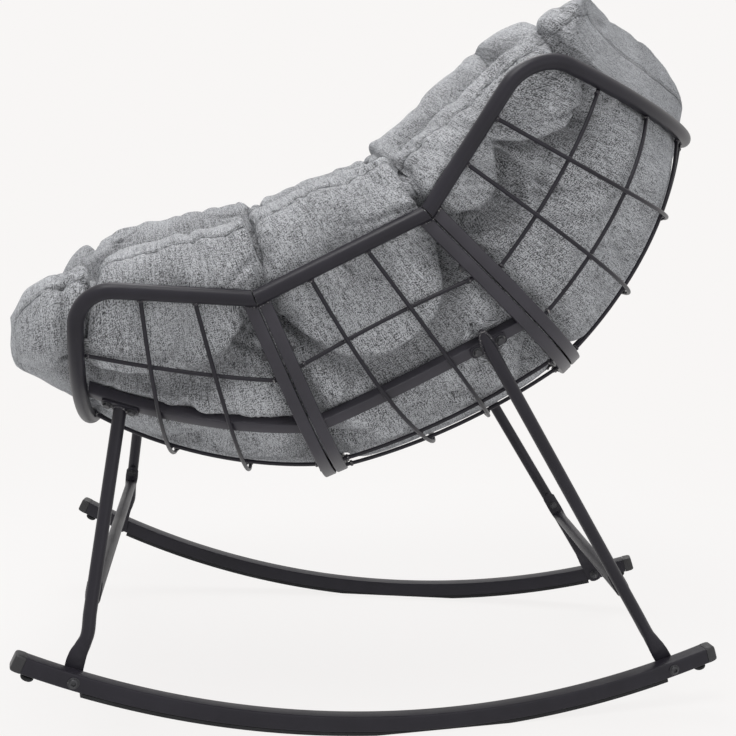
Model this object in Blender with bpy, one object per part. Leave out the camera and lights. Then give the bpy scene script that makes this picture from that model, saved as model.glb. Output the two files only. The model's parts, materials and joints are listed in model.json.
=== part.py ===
"""Rocking chair: three-piece wire basket on four tube legs and two arc rockers, with a tufted cushion.

Metres, +Z up, the sitter faces -Y. The chair is symmetric about X = 0, its overall length is centred
on Y = 0, and it rests on the flats of its two rubber strips at Z = 0.
"""
import math

import bmesh
import bpy
import numpy as np

# driving dimensions
ORIGIN_Y = 0.0745            # floor contact behind the middle of the overall length
GAP = 0.0003                 # clearance between pieces that touch
ROCKER_R = 1.1924            # outer radius of the rocker bar
ROCKER_H = 0.0200            # rocker bar height
ROCKER_W = 0.0200            # rocker bar width
ROCKER_HALF = 0.2536         # half spacing of the outer faces above the floor contact
ROCKER_TOE = 9.5             # degrees each rocker turns in towards the rear
ARC_FRONT = -26.5            # degrees from the floor contact to the bar's front end
ARC_REAR = 16.4              # degrees to its rear end
CAP_DEG = 0.62               # degrees of arc taken by an end cap
STRIP_T = 0.0053             # rubber strip thickness
STRIP_ARC = (-22.9, 13.5)    # degrees covered by the strip
FLAT_DEG = 4.2               # half angle of the strip's flat at the floor
SETTLE = 1.2                 # degrees the chair settles forward on that flat
BOLT_ARC = (-23.57, 14.01)   # degrees of the front and rear leg bolts
FOOT_ARC = (-26.0, 15.9)     # degrees of the stop pads under the ends
TUBE_R = 0.0095              # rim tube radius
LEG_R = 0.0080               # leg tube radius
WIRE_R = 0.0030              # grid wire radius
BAR_W = 0.0150               # joint bar width along the chair
BAR_D = 0.0170               # joint bar depth through the basket wall
RAIL_D = 0.0150              # leg rail, square
JOINT_GAP = 0.0008           # half the gap between two joint bars
CORNER_FRONT = 0.042         # bend of the front rail's upper corners
CORNER_TOP = 0.052           # bend of the back rail's corners
PLATE_T = 0.0030             # leg plate thickness
CUSHION_T = 0.106            # cushion thickness
CUSHION_END = 0.056          # width of its rounded side lips
CUSHION_IN = 0.0225          # cushion's outer face inside the basket's middle line
CUSHION_SAG = 0.85           # share of the sections' bulge that its underside fills

ROCKER_CENTRE = (ROCKER_R + STRIP_T) * math.cos(math.radians(FLAT_DEG))

# four cross-sections of the basket: rim point y, z; lean of the section from vertical in degrees;
# half width at the rim; depth; exponent of the rounded outline
STATIONS = np.array([
    [-0.4497, 0.5620, -4.4, 0.3100, 0.1990, 1.95],
    [-0.2527, 0.5474, 22.9, 0.2990, 0.2735, 2.95],
    [-0.0557, 0.6422, 45.6, 0.2850, 0.3040, 2.90],
    [0.0620, 0.8263, 69.0, 0.2850, 0.2900, 1.45],
])
# how far each of the three sections swells between its two ends, same columns
BULGE = np.array([[0, 0, 0, 0, 0.022, -0.25], [0, 0, 0, 0, 0.017, -0.30], [0, 0, 2.0, 0, 0.016, 0.35]])
# cross wires: where each leaves the rims and where it crosses the middle (0 front end, 3 top end)
CROSS_WIRES = ((0.35, 0.35), (0.65, 0.65), (1.30, 1.40), (1.625, 1.625), (2.325, 2.325), (2.60, 2.65))

MATERIALS = {
    "powder_coat": ((0.045, 0.045, 0.050), 0.42, 0.0),
    "rubber": ((0.030, 0.030, 0.032), 0.75, 0.0),
    "black_plastic": ((0.035, 0.035, 0.037), 0.55, 0.0),
    "bolt_steel": ((0.10, 0.10, 0.105), 0.35, 0.9),
    "grey_fabric": ((0.235, 0.240, 0.250), 0.95, 0.0),
}


def unit(v):
    v = np.asarray(v, float)
    return v / np.linalg.norm(v, axis=-1, keepdims=True)


def settled(points):
    """Rolls built points forward on the rockers onto the strips' flats, and centres the length."""
    a = math.radians(SETTLE)
    p = np.array(points, float)
    y, z = p[..., 1].copy(), p[..., 2] - ROCKER_CENTRE
    p[..., 1] = y * math.cos(a) - z * math.sin(a) + ORIGIN_Y
    p[..., 2] = z * math.cos(a) + y * math.sin(a) + ROCKER_CENTRE
    return p


def clear_scene():
    for ob in list(bpy.data.objects):
        bpy.data.objects.remove(ob, do_unlink=True)


def material(name):
    mat = bpy.data.materials.get(name)
    if mat is None:
        colour, rough, metal = MATERIALS[name]
        mat = bpy.data.materials.new(name)
        mat.use_nodes = True
        shader = mat.node_tree.nodes["Principled BSDF"]
        shader.inputs["Base Color"].default_value = (*colour, 1.0)
        shader.inputs["Roughness"].default_value = rough
        shader.inputs["Metallic"].default_value = metal
    return mat


def make(name, verts, faces, slot, smooth=False, placed=False):
    mesh = bpy.data.meshes.new(name)
    verts = np.array(verts, float) if placed else settled(verts)
    mesh.from_pydata([tuple(map(float, v)) for v in verts], [], [tuple(map(int, f)) for f in faces])
    bm = bmesh.new()
    bm.from_mesh(mesh)
    bmesh.ops.recalc_face_normals(bm, faces=bm.faces)
    bm.to_mesh(mesh)
    bm.free()
    mesh.materials.append(material(slot))
    for poly in mesh.polygons:
        poly.use_smooth = smooth and len(poly.vertices) <= 4
    ob = bpy.data.objects.new(name, mesh)
    bpy.context.scene.collection.objects.link(ob)
    return ob


def circle(r, n, turn=0.5):
    a = 2 * np.pi * (np.arange(n) + turn) / n
    return np.stack([r * np.cos(a), r * np.sin(a)], 1)


def ellipse(ra, rb, n):
    a = 2 * np.pi * (np.arange(n) + 0.5) / n
    return np.stack([ra * np.cos(a), rb * np.sin(a)], 1)


def box_profile(wide, deep, ch=0.0012):
    a, b = wide / 2, deep / 2
    return np.array([(a, -b + ch), (a, b - ch), (a - ch, b), (-a + ch, b),
                     (-a, b - ch), (-a, -b + ch), (-a + ch, -b), (a - ch, -b)])


def tangents(path):
    t = np.gradient(np.asarray(path, float), axis=0)
    return unit(t)


def carried(path, start):
    """Reference directions carried along the path without twist."""
    t = tangents(path)
    out = [unit(start - t[0] * np.dot(start, t[0]))]
    for i in range(1, len(t)):
        v = out[-1] - t[i] * np.dot(out[-1], t[i])
        out.append(unit(v))
    return np.array(out)


def sweep(path, profile, ups, cut0=None, cut1=None):
    """Closed solid: profile (one, or one per point) carried along the path; ends may be cut by planes."""
    path = np.asarray(path, float)
    n = len(path)
    t = tangents(path)
    ups = np.broadcast_to(np.asarray(ups, float), (n, 3))
    y = unit(ups - t * np.sum(ups * t, 1)[:, None])
    x = np.cross(y, t)
    prof = np.asarray(profile, float)
    if prof.ndim == 2:
        prof = np.broadcast_to(prof, (n,) + prof.shape)
    m = prof.shape[1]
    rings = path[:, None] + prof[..., :1] * x[:, None] + prof[..., 1:] * y[:, None]
    for i, cut in ((0, cut0), (n - 1, cut1)):
        if cut is not None:
            p, nrm = np.asarray(cut[0], float), np.asarray(cut[1], float)
            s = ((p - rings[i]) @ nrm) / np.dot(t[i], nrm)
            rings[i] = rings[i] + s[:, None] * t[i]
    verts = rings.reshape(-1, 3)
    faces = [(i * m + j, i * m + (j + 1) % m, (i + 1) * m + (j + 1) % m, (i + 1) * m + j)
             for i in range(n - 1) for j in range(m)]
    faces += [tuple(range(m))[::-1], tuple((n - 1) * m + j for j in range(m))]
    return verts, faces


def lathe(origin, axis, profile, n, turn=0.5):
    """Body of revolution: profile is (distance along the axis, radius) pairs, closed at both ends."""
    axis = unit(axis)
    side = unit(np.cross(axis, (0.31, 0.17, 0.93)))
    other = np.cross(axis, side)
    a = 2 * np.pi * (np.arange(n) + turn) / n
    ring = np.cos(a)[:, None] * side + np.sin(a)[:, None] * other
    verts = np.concatenate([np.asarray(origin) + s * axis + r * ring for s, r in profile])
    k = len(profile)
    faces = [(i * n + j, i * n + (j + 1) % n, (i + 1) * n + (j + 1) % n, (i + 1) * n + j)
             for i in range(k - 1) for j in range(n)]
    faces += [tuple(range(n))[::-1], tuple((k - 1) * n + j for j in range(n))]
    return verts, faces


def merged(parts):
    verts, faces, base = [], [], 0
    for v, f in parts:
        verts.append(np.asarray(v))
        faces += [tuple(i + base for i in q) for q in f]
        base += len(v)
    return np.concatenate(verts), faces


def boolean(ob, solids, operation):
    """Adds or drills other closed solids, given as one (verts, faces) each, and keeps a plain mesh."""
    tool = make(ob.name + "_tool", *merged(solids), "powder_coat")
    mod = ob.modifiers.new("cut", "BOOLEAN")
    mod.operation, mod.solver, mod.object = operation, "EXACT", tool
    bpy.context.view_layer.update()
    graph = bpy.context.evaluated_depsgraph_get()
    fresh = bpy.data.meshes.new_from_object(ob.evaluated_get(graph))
    ob.modifiers.clear()
    old = ob.data
    ob.data = fresh
    fresh.name = ob.name
    bpy.data.meshes.remove(old)
    bpy.data.objects.remove(tool, do_unlink=True)
    bm = bmesh.new()
    bm.from_mesh(fresh)
    bmesh.ops.remove_doubles(bm, verts=bm.verts, dist=1e-6)
    bm.to_mesh(fresh)
    bm.free()
    return ob


def mirrored(solid):
    v, f = solid
    return np.asarray(v) * (-1, 1, 1), [q[::-1] for q in f]


SIDES = (("left", 1), ("right", -1))


def pair(name, solid, slot, smooth=False, placed=False):
    """The left piece as given and its mirror image on the right."""
    return [make(f"{name}_{side}", *(solid if s > 0 else mirrored(solid)), slot, smooth, placed)
            for side, s in SIDES]


# the basket's shape

def station(v):
    v = float(v)
    i = min(max(int(math.floor(v)), 0), 2)
    t = v - i
    row = STATIONS[i] * (1 - t) + STATIONS[i + 1] * t + BULGE[i] * 4 * t * (1 - t)
    return row


def place(row, x, depth):
    a = math.radians(row[2])
    x, depth = np.broadcast_arrays(np.asarray(x, float), np.asarray(depth, float))
    return np.stack([x, row[0] + math.sin(a) * depth, row[1] - math.cos(a) * depth], -1)


def outline(row, th, inset=0.0):
    """Half width and depth of the rounded outline at angle th (0 left rim, pi right rim)."""
    c, s = np.cos(th), np.sin(th)
    e = 2.0 / row[5]
    return (row[3] - inset) * np.sign(c) * np.abs(c) ** e, (row[4] - inset) * np.abs(s) ** e


def on_basket(v, th, inset=0.0):
    row = station(v)
    return place(row, *outline(row, th, inset))


def out_dir(v, th):
    """Outward direction of the basket wall."""
    d = 1e-3
    th = float(np.clip(th, 2e-3, math.pi - 2e-3))
    v = float(np.clip(v, 2e-3, 2.998))
    across = on_basket(v, th + d) - on_basket(v, th - d)
    along = on_basket(v + d, th) - on_basket(v - d, th)
    return unit(np.cross(across, along))


def plane(v):
    """Point and unit normal (towards the rear) of a section plane."""
    row = station(v)
    a = math.radians(row[2])
    return np.array([0, row[0], row[1]]), np.array([0, math.cos(a), math.sin(a)])


def theta_at(v, frac):
    """Angle at which the outline has reached a share of its depth."""
    n = station(v)[5]
    return math.asin(min(1.0, frac) ** (n / 2))


def theta_x(v, frac):
    """Angle at which the outline's half width is down to a share of the rim's."""
    n = station(v)[5]
    return math.acos(frac ** (n / 2))


def rim_dir(i):
    a, b = STATIONS[i], STATIONS[i + 1]
    return unit(np.array([0, b[0] - a[0], b[1] - a[1]]))


def by_turn(path, limit):
    """Keeps the points of a dense path at which it has turned by the limit (degrees)."""
    t = tangents(path)
    keep, last = [0], t[0]
    for i in range(1, len(path) - 1):
        if math.degrees(math.acos(float(np.clip(np.dot(last, t[i]), -1, 1)))) >= limit:
            keep.append(i)
            last = t[i]
    keep.append(len(path) - 1)
    return np.asarray(path)[keep]


def end_rail_path(v_end, v_joint, corner, turn):
    """One bent tube: along the left rim, round the corner, across under the basket and back."""
    row = station(v_end)
    joint = place(station(v_joint), station(v_joint)[3], 0.0)
    vert = place(row, row[3], 0.0)
    th = np.linspace(0, math.pi / 2, 400)
    curve = place(row, *outline(row, th))
    s = np.concatenate([[0], np.cumsum(np.linalg.norm(np.diff(curve, axis=0), axis=1))])
    first = int(np.searchsorted(s, corner))
    a, b, c = vert + unit(joint - vert) * corner, vert, curve[first]
    k = 0.55
    p1, p2 = a + (b - a) * k, c + (b - c) * k
    u = np.linspace(0, 1, 40)[:, None]
    bend = (1 - u) ** 3 * a + 3 * u * (1 - u) ** 2 * p1 + 3 * u * u * (1 - u) * p2 + u ** 3 * c
    half = np.concatenate([np.linspace(joint, a, 6)[:-1], bend, curve[first + 1:]])
    half = np.concatenate([half[:1], by_turn(half[4:], turn)])
    far = (half * (-1, 1, 1))[::-1]
    return np.concatenate([half[:-1], [half[-1] * (0, 1, 1)], far[1:]])


def end_rail(name, v_end, v_joint, corner, sign):
    path = end_rail_path(v_end, v_joint, corner, 9.0)
    p, n = plane(v_joint)
    cut = (p + n * sign * JOINT_GAP, n)
    ups = carried(path, np.array([1.0, 0, 0]))
    return make(name, *sweep(path, circle(TUBE_R, 11), ups, cut, cut), "powder_coat", True)


def rim_tube():
    a = place(STATIONS[1], STATIONS[1][3], 0.0)
    b = place(STATIONS[2], STATIONS[2][3], 0.0)
    (p1, n1), (p2, n2) = plane(1), plane(2)
    return sweep([a, (a + b) / 2, b], circle(TUBE_R, 12), (1.0, 0, 0),
                 (p1 + n1 * JOINT_GAP, n1), (p2 - n2 * JOINT_GAP, n2))


def joint_bar(name, v, sign):
    """Square bar bent to the section, its ends cut against the underside of the rim tubes."""
    row = station(v)
    p, n = plane(v)
    shift = n * sign * (JOINT_GAP + BAR_W / 2)
    inset = BAR_D / 2 - 0.002
    th0 = 0.03
    th = np.linspace(th0, math.pi - th0, 241)
    path = place(row, *outline(row, th, 0.0))
    outs = np.array([out_dir(min(max(v, 0.002), 2.998), a) for a in th])
    outs = unit(outs - n * (outs @ n)[:, None])
    path = path - outs * inset + shift
    t = tangents(path)
    keep, last = [0], t[0]
    for i in range(1, 240):
        if math.degrees(math.acos(float(np.clip(np.dot(last, t[i]), -1, 1)))) >= 11.0:
            keep.append(i)
            last = t[i]
    keep.append(240)
    path, outs = path[keep], outs[keep]
    d = rim_dir({(1, -1): 0, (1, 1): 1, (2, -1): 1, (2, 1): 2}[(v, sign)])
    down = unit(np.array([0, d[2], -d[1]]))
    down = down if down[2] < 0 else -down
    rim_pt = place(row, row[3], 0.0)
    cut0 = (rim_pt + down * (TUBE_R + GAP), down)
    return make(name, *sweep(path, box_profile(BAR_W, BAR_D), outs, cut0, cut0), "powder_coat")


def runner_path(va, vb, tha, thb, inset, steps):
    """Path along the basket from section va to vb, between two angles of the outline."""
    u = np.linspace(0, 1, steps)
    pts = []
    for t in u:
        v, th = va + (vb - va) * t, tha + (thb - tha) * t
        pts.append(on_basket(v, th) - out_dir(v, th) * inset)
    return np.array(pts)


def section_ends(i):
    """Cut planes for pieces running from one end of a basket section to the other."""
    if i == 0:
        p, n = plane(0)
        q, m = plane(1)
        return (p + n * 0.0102, n), (q - m * (JOINT_GAP + BAR_W + GAP), m)
    if i == 1:
        p, n = plane(1)
        q, m = plane(2)
        return (p + n * (JOINT_GAP + BAR_W + GAP), n), (q - m * (JOINT_GAP + BAR_W + GAP), m)
    p, n = plane(2)
    q, m = plane(3)
    return (p + n * (JOINT_GAP + BAR_W + GAP), n), (q - m * 0.0102, m)


def trimmed(path, cuts):
    """Drops points beyond the cut planes, so that the ends can be slid onto them."""
    (p0, n0), (p1, n1) = cuts
    inside = [i for i in range(len(path)) if (path[i] - p0) @ n0 > 0.004 and (path[i] - p1) @ n1 < -0.004]
    a, b = inside[0], inside[-1]
    head = path[a] - unit(path[a + 1] - path[a]) * ((path[a] - p0) @ n0)
    tail = path[b] + unit(path[b] - path[b - 1]) * (-(path[b] - p1) @ n1)
    return np.concatenate([[head], path[a:b + 1], [tail]])


def runner(i, tha, thb, inset, profile, steps=7):
    cuts = section_ends(i)
    path = trimmed(runner_path(i, i + 1, tha, thb, inset, steps), cuts)
    ups = np.array([out_dir(i + (k + 0.5) / len(path), tha + (thb - tha) * k / (len(path) - 1))
                    for k in range(len(path))])
    return sweep(path, profile, ups, *cuts)


def cross_wire(v0, v1):
    """Wire from rim to rim on the basket's surface."""
    th = np.linspace(0.0, math.pi / 2, 500)
    half = np.array([on_basket(v0 + (v1 - v0) * math.sin(a) ** 2, a) for a in th])
    top = TUBE_R + GAP
    d = rim_dir(int(v0))
    down = unit(np.array([0, d[2], -d[1]]))
    down = down if down[2] < 0 else -down
    dist = (half - half[0]) @ down
    k = int(np.searchsorted(dist, top + 0.003))
    start = half[0] + unit(half[k] - half[0]) * top / (unit(half[k] - half[0]) @ down)
    half = by_turn(np.concatenate([[start], half[k:]]), 9.0)
    path = np.concatenate([half[:-1], [half[-1] * (0, 1, 1)], (half[:-1] * (-1, 1, 1))[::-1]])
    cut = (half[0] * (0, 1, 1), down)
    return sweep(path, circle(WIRE_R, 6), carried(path, plane(v0)[1]), cut, cut)


def grid(name, i, lines):
    """Cross wires outside, length wires inside, welded where they cross: one body."""
    cross = [cross_wire(a, b) for a, b in CROSS_WIRES if i < a < i + 1]
    along = []
    for tha, thb in lines:
        for m in (0, 1):
            a, b = (tha, thb) if m == 0 else (math.pi - tha, math.pi - thb)
            along.append(runner(i, a, b, 0.0052, circle(WIRE_R, 6)))
    ob = make(name, *merged(cross), "powder_coat")
    boolean(ob, along, "UNION")
    for poly in ob.data.polygons:
        poly.use_smooth = True
    return ob


# leg rails and where the legs meet them
RAIL_INSET = WIRE_R + 0.0009 + RAIL_D / 2
FRONT_RAIL = (theta_at(0.0, 0.69), theta_at(1.0, 0.64))
MID_RAIL = (theta_at(1.0, 0.64), theta_at(2.0, 0.61))
LEG_V = (0.175, 1.790)       # where along the basket the legs are bolted
LEG_DROP = 0.0060            # leg tubes meet their plates this far below the middle
PLATE_L = 0.046
PLATE_H = 0.0165
BOLT_STEP = 0.0155           # half spacing of a leg plate's bolts


def leg_rail(i, ends, v):
    """Square rail the legs are bolted to, and the middle, direction and outward normal at the leg plate."""
    cuts = section_ends(i)
    path = trimmed(runner_path(i, i + 1, *ends, RAIL_INSET, 7), cuts)
    up = out_dir(v, ends[0] + (ends[1] - ends[0]) * (v - i))
    on = on_basket(v, ends[0] + (ends[1] - ends[0]) * (v - i))
    s = np.linalg.norm(path - on, axis=1)
    k = int(np.argmin(s))
    k = max(k - 1, 0) if k == len(path) - 1 or (k > 0 and s[k - 1] < s[k + 1]) else k
    a, b = path[k], path[k + 1]
    d = unit(b - a)
    o = unit(up - d * np.dot(up, d))
    share = np.clip((on - a) @ d / np.linalg.norm(b - a), 0, 1)
    return sweep(path, box_profile(RAIL_D, RAIL_D), up, *cuts), (a + (b - a) * share, d, o)


# rockers

def rocker_point(arc, radius, lx):
    """A point of the left rocker: arc in degrees from the floor contact, lx inward from the outer face."""
    a, tau = math.radians(arc), math.radians(ROCKER_TOE)
    y, z = radius * math.sin(a), ROCKER_CENTRE - radius * math.cos(a)
    return np.array([ROCKER_HALF - y * math.sin(tau) - lx * math.cos(tau),
                     y * math.cos(tau) - lx * math.sin(tau), z])


def rocker_dirs(arc):
    """Directions at an arc angle: along the bar to the rear, up off the bar, inward."""
    a, tau = math.radians(arc), math.radians(ROCKER_TOE)
    along = np.array([-math.cos(a) * math.sin(tau), math.cos(a) * math.cos(tau), math.sin(a)])
    up = np.array([math.sin(a) * math.sin(tau), -math.sin(a) * math.cos(tau), math.cos(a)])
    inward = np.array([-math.cos(tau), -math.sin(tau), 0])
    return along, up, inward


def arc_bar(arcs, radius, wide, high, lx, ch):
    path = np.array([rocker_point(a, radius, lx) for a in arcs])
    ups = np.array([rocker_dirs(a)[1] for a in arcs])
    cuts = [(path[k], rocker_dirs(arcs[k])[0]) for k in (0, -1)]
    return sweep(path, box_profile(wide, high, ch), ups, *cuts)


def strip():
    """Rubber strip: follows the bar, with a flat where it is pressed to the floor."""
    lo, hi = -SETTLE - FLAT_DEG, -SETTLE + FLAT_DEG
    arcs = np.concatenate([np.linspace(STRIP_ARC[0], lo, 9), np.linspace(lo, hi, 6)[1:-1],
                           np.linspace(hi, STRIP_ARC[1], 6)])
    bottom, top = ROCKER_R + STRIP_T, ROCKER_R + GAP
    verts = settled([[rocker_point(a, top, 0.0012), rocker_point(a, top, ROCKER_W - 0.0012),
                      rocker_point(a, bottom, ROCKER_W - 0.0020), rocker_point(a, bottom, 0.0020)]
                     for a in arcs])
    pressed = (arcs > lo - 0.01) & (arcs < hi + 0.01)
    verts[pressed, 2:, 2] = 0.0
    n, m = len(arcs), 4
    faces = [(i * m + j, i * m + (j + 1) % m, (i + 1) * m + (j + 1) % m, (i + 1) * m + j)
             for i in range(n - 1) for j in range(m)]
    faces += [(3, 2, 1, 0), tuple((n - 1) * m + j for j in range(m))]
    return verts.reshape(-1, 3), faces


def hole(origin, axis, a, b, r, n=8):
    return lathe(origin, axis, [(a, r), (b, r)], n)


def bolt(origin, axis, head, length, nut=True, r=0.0029, rh=0.0050, rw=0.0062, n=6):
    """Button head with washer before the face, shank through it, nut behind: one turned body."""
    prof = [(-head - 0.0012 - GAP, rh * 0.62), (-head * 0.55 - 0.0012 - GAP, rh * 0.96),
            (-0.0012 - GAP, rh), (-0.0012 - GAP, rw), (-GAP, rw), (-GAP, r)]
    if nut:
        prof += [(length + GAP, r), (length + GAP, 0.0046), (length + GAP + 0.0036, 0.0046)]
    else:
        prof += [(length, r)]
    return lathe(origin, axis, prof, n)


# legs

def leg_solids(arc, frame, lean):
    """Leg from its flattened foot on the rocker to the plate under the basket's leg rail."""
    foot = rocker_point(arc, ROCKER_R - 0.0095, ROCKER_W + GAP + 0.0025)
    inward = rocker_dirs(arc)[2]
    mid, along, out = frame
    face = mid + out * (RAIL_D / 2 + GAP)
    down = np.cross(along, out)
    down = down if down[2] < 0 else -down
    top = face + out * PLATE_T + down * LEG_DROP
    to_top = unit(top - foot)
    in_plane = unit(to_top - inward * np.dot(to_top, inward))
    a = foot - in_plane * 0.0105
    b = foot + in_plane * 0.0180
    d = foot + in_plane * 0.046 + inward * 0.0062 + rocker_dirs(arc)[0] * lean
    dirn = unit(top - d)
    forward = rocker_dirs(arc)[0] * lean
    pts = [a, foot - in_plane * 0.0085, foot - in_plane * 0.004, b,
           b + in_plane * 0.008 + inward * 0.0008 + forward * 0.15,
           b + in_plane * 0.018 + inward * 0.0036 + forward * 0.6,
           d, d + dirn * 0.03, d + (top - d) * 0.6, top - dirn * 0.004]
    wide = np.array([0.0050, 0.0090, 0.0112, 0.0112, 0.0106, 0.0092, LEG_R, LEG_R, LEG_R, LEG_R])
    deep = np.array([0.0025, 0.0025, 0.0025, 0.0025, 0.0034, 0.0058, LEG_R, LEG_R, LEG_R, LEG_R])
    prof = np.array([ellipse(w, q, 12) for w, q in zip(wide, deep)])
    tube = sweep(pts, prof, inward, None, (top - out * 0.0012, out))
    middle = face + out * PLATE_T / 2
    plate = sweep([middle - along * PLATE_L / 2, middle, middle + along * PLATE_L / 2],
                  box_profile(PLATE_H, PLATE_T, 0.0006), out)
    return tube, plate, (foot, inward), (face, along, out), (d, top)


def crossbar(centre, up, tab_up):
    """Bar between a pair of legs: flattened tabs turned up along the legs' inner sides."""
    x = np.array([1.0, 0, 0])
    start = centre + up * tab_up
    bend = 0.013
    low = centre - up * 0.021
    pts = [start, start - up * 0.002, start - up * 0.006, centre - up * 0.008, centre - up * 0.012]
    u = np.linspace(0, 1, 6)[1:, None]
    p0, p1, p2 = centre - up * 0.012, low, low - x * bend
    arc = (1 - u) ** 2 * p0 + 2 * u * (1 - u) * p1 + u * u * p2
    pts = np.array(pts + list(arc) + [low - x * (bend + 0.012)])
    wide = np.array([0.0042, 0.0068, 0.0092, 0.0096, 0.0094, 0.0092, 0.0088, 0.0084, 0.0081, LEG_R, LEG_R])
    deep = np.array([0.0020, 0.0020, 0.0020, 0.0020, 0.0024, 0.0036, 0.0050, 0.0064, 0.0075, LEG_R, LEG_R])
    pts = pts - x * (deep - deep[0])[:, None]
    far = (pts * (-1, 1, 1))[::-1]
    path = np.concatenate([pts, [pts[-1] * (0, 1, 1)], far])
    w = np.concatenate([wide, [LEG_R], wide[::-1]])
    d = np.concatenate([deep, [LEG_R], deep[::-1]])
    side = unit(np.cross(x, up))
    t = tangents(path)
    thin = np.cross(t, side)
    prof = np.array([ellipse(a, b, 10) for a, b in zip(w, d)])
    return sweep(path, prof, thin)


# cushion

# how far the side lips stand above the rims along the chair, and how far the ends overhang
LIP = np.array([(-0.33, -0.052), (-0.27, -0.018), (-0.16, 0.008), (0.0, 0.026), (0.3, 0.056), (1.0, 0.082),
                (1.6, 0.082), (2.0, 0.068), (2.5, 0.050), (2.75, 0.030), (3.0, 0.010), (3.2, -0.006),
                (3.36, -0.030), (3.45, -0.062)])
CUSHION_FRONT = -0.33        # front end of the cushion on the basket's scale
CUSHION_TOP = (3.45, 3.14)   # its top end beside the rims and in the middle


def soft_station(v):
    """The basket's section with its corners at the joints smoothed, carried on past both ends."""
    v = float(v)
    if v <= 0 or v >= 3:
        i, j, q = (0, 1, v) if v <= 0 else (2, 3, v - 2)
        row = STATIONS[i] * (1 - q) + STATIONS[j] * q
        row[2:] = STATIONS[0 if v <= 0 else 3][2:]
        row[2] += 3.0 * v if v <= 0 else 5.0 * (v - 3)
        return row
    total = np.zeros(6)
    for k, w in ((-0.2, 1), (-0.1, 2), (0.0, 3), (0.1, 2), (0.2, 1)):
        q = min(max(v + k * min(1.0, v, 3 - v), 0.0), 3.0)
        i = min(int(q), 2)
        total += w * (STATIONS[i] * (1 - q + i) + STATIONS[i + 1] * (q - i))
    return total / 9.0


def cushion_mid(v, share, dipped):
    """Middle layer of the pad, a share of the way from lip to centre line: section, point, outward normal."""
    row = soft_station(v)
    inset = CUSHION_IN + 0.006 * max(0.0, min(1.0, (v - 2.4) / 0.4)) + CUSHION_T / 2
    x, d = outline(row, np.linspace(0, math.pi / 2, 240), inset)
    rise = float(np.interp(v, LIP[:, 0], LIP[:, 1])) - (0.009 if dipped else 0.0)
    if rise > 0:
        x, d = np.concatenate([[x[0]], x]), np.concatenate([[-rise], d])
    s = np.concatenate([[0], np.cumsum(np.hypot(np.diff(x), np.diff(d)))])
    s0 = max(0.0, -rise)
    edge = np.array([0.0, 0.010, 0.030])
    q = edge[share] + s0 if share < 3 else s0 + CUSHION_END + (s[-1] - s0 - CUSHION_END) * (share - 3) / 7
    p = [np.array([np.interp(w, s, x), np.interp(w, s, d)])
         for w in (max(q - 0.006, 0), q, min(q + 0.006, s[-1]))]
    t = unit(p[2] - p[0])
    return row, p[1], np.array([t[1], -t[0]])


def cushion():
    """Soft pad filling the basket: one closed skin with round ends and side lips.

    The outer face follows the basket inside its wall and sags into each section's bulge. Every third row
    and column is a seam, where the inner face is drawn in and the lips dip, so the pad reads as rows of
    pillows.
    """
    reach = 0.26
    turn = np.radians((10.0, 40.0, 66.0))
    body = np.linspace(CUSHION_FRONT + reach, CUSHION_TOP[0] - reach, 22)
    vs = np.concatenate([CUSHION_FRONT + reach * (1 - np.cos(turn)), body,
                         (CUSHION_TOP[0] - reach * (1 - np.cos(turn)))[::-1]])
    ends = np.concatenate([np.sin(turn), np.ones(22), np.sin(turn)[::-1]])
    edge = np.concatenate([np.sin(turn), np.ones(8)])
    rings = []
    for k, v in enumerate(vs):
        seam_row = (k - 3) % 3 == 0 and 3 < k < 24
        outer, inner = [], []
        for j in range(11):
            last = CUSHION_TOP[0] + (CUSHION_TOP[1] - CUSHION_TOP[0]) * max(0.0, (j - 4) / 6.0)
            w = v if v < 2.3 else 2.3 + (v - 2.3) * (last - 2.3) / (CUSHION_TOP[0] - 2.3)
            row, p, n = cushion_mid(w if j > 2 else v, j, seam_row)
            half = CUSHION_T / 2 * edge[j] * ends[k]
            drawn = 0.60 if seam_row or j in (3, 6, 9) else 1.0
            i = min(max(int(w), 0), 2)
            sag = CUSHION_SAG * BULGE[i][4] * 4 * max(0.0, (w - i) * (1 - w + i)) * ends[k]
            x, d = p + n * half
            outer.append(place(row, x, d + sag * min(1.0, max(0.0, d) / 0.2) ** 2))
            inner.append(place(row, *(p - n * half * drawn)))
        outer[-1], inner[-1] = outer[-1] * (0, 1, 1), inner[-1] * (0, 1, 1)
        left = np.array(inner[::-1] + outer)
        rings.append(np.concatenate([left, (left[1:-1] * (-1, 1, 1))[::-1]]))
    m, n = len(rings[0]), len(rings)
    faces = [(i * m + j, i * m + (j + 1) % m, (i + 1) * m + (j + 1) % m, (i + 1) * m + j)
             for i in range(n - 1) for j in range(m)]
    for i in (0, n - 1):
        for side in (1, -1):
            for j in range(10):
                quad = [i * m + (w % m) for w in (side * j, side * (j + 1), side * (20 - j), side * (21 - j))]
                faces.append(tuple(dict.fromkeys(quad)))
    return np.concatenate(rings), faces


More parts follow.
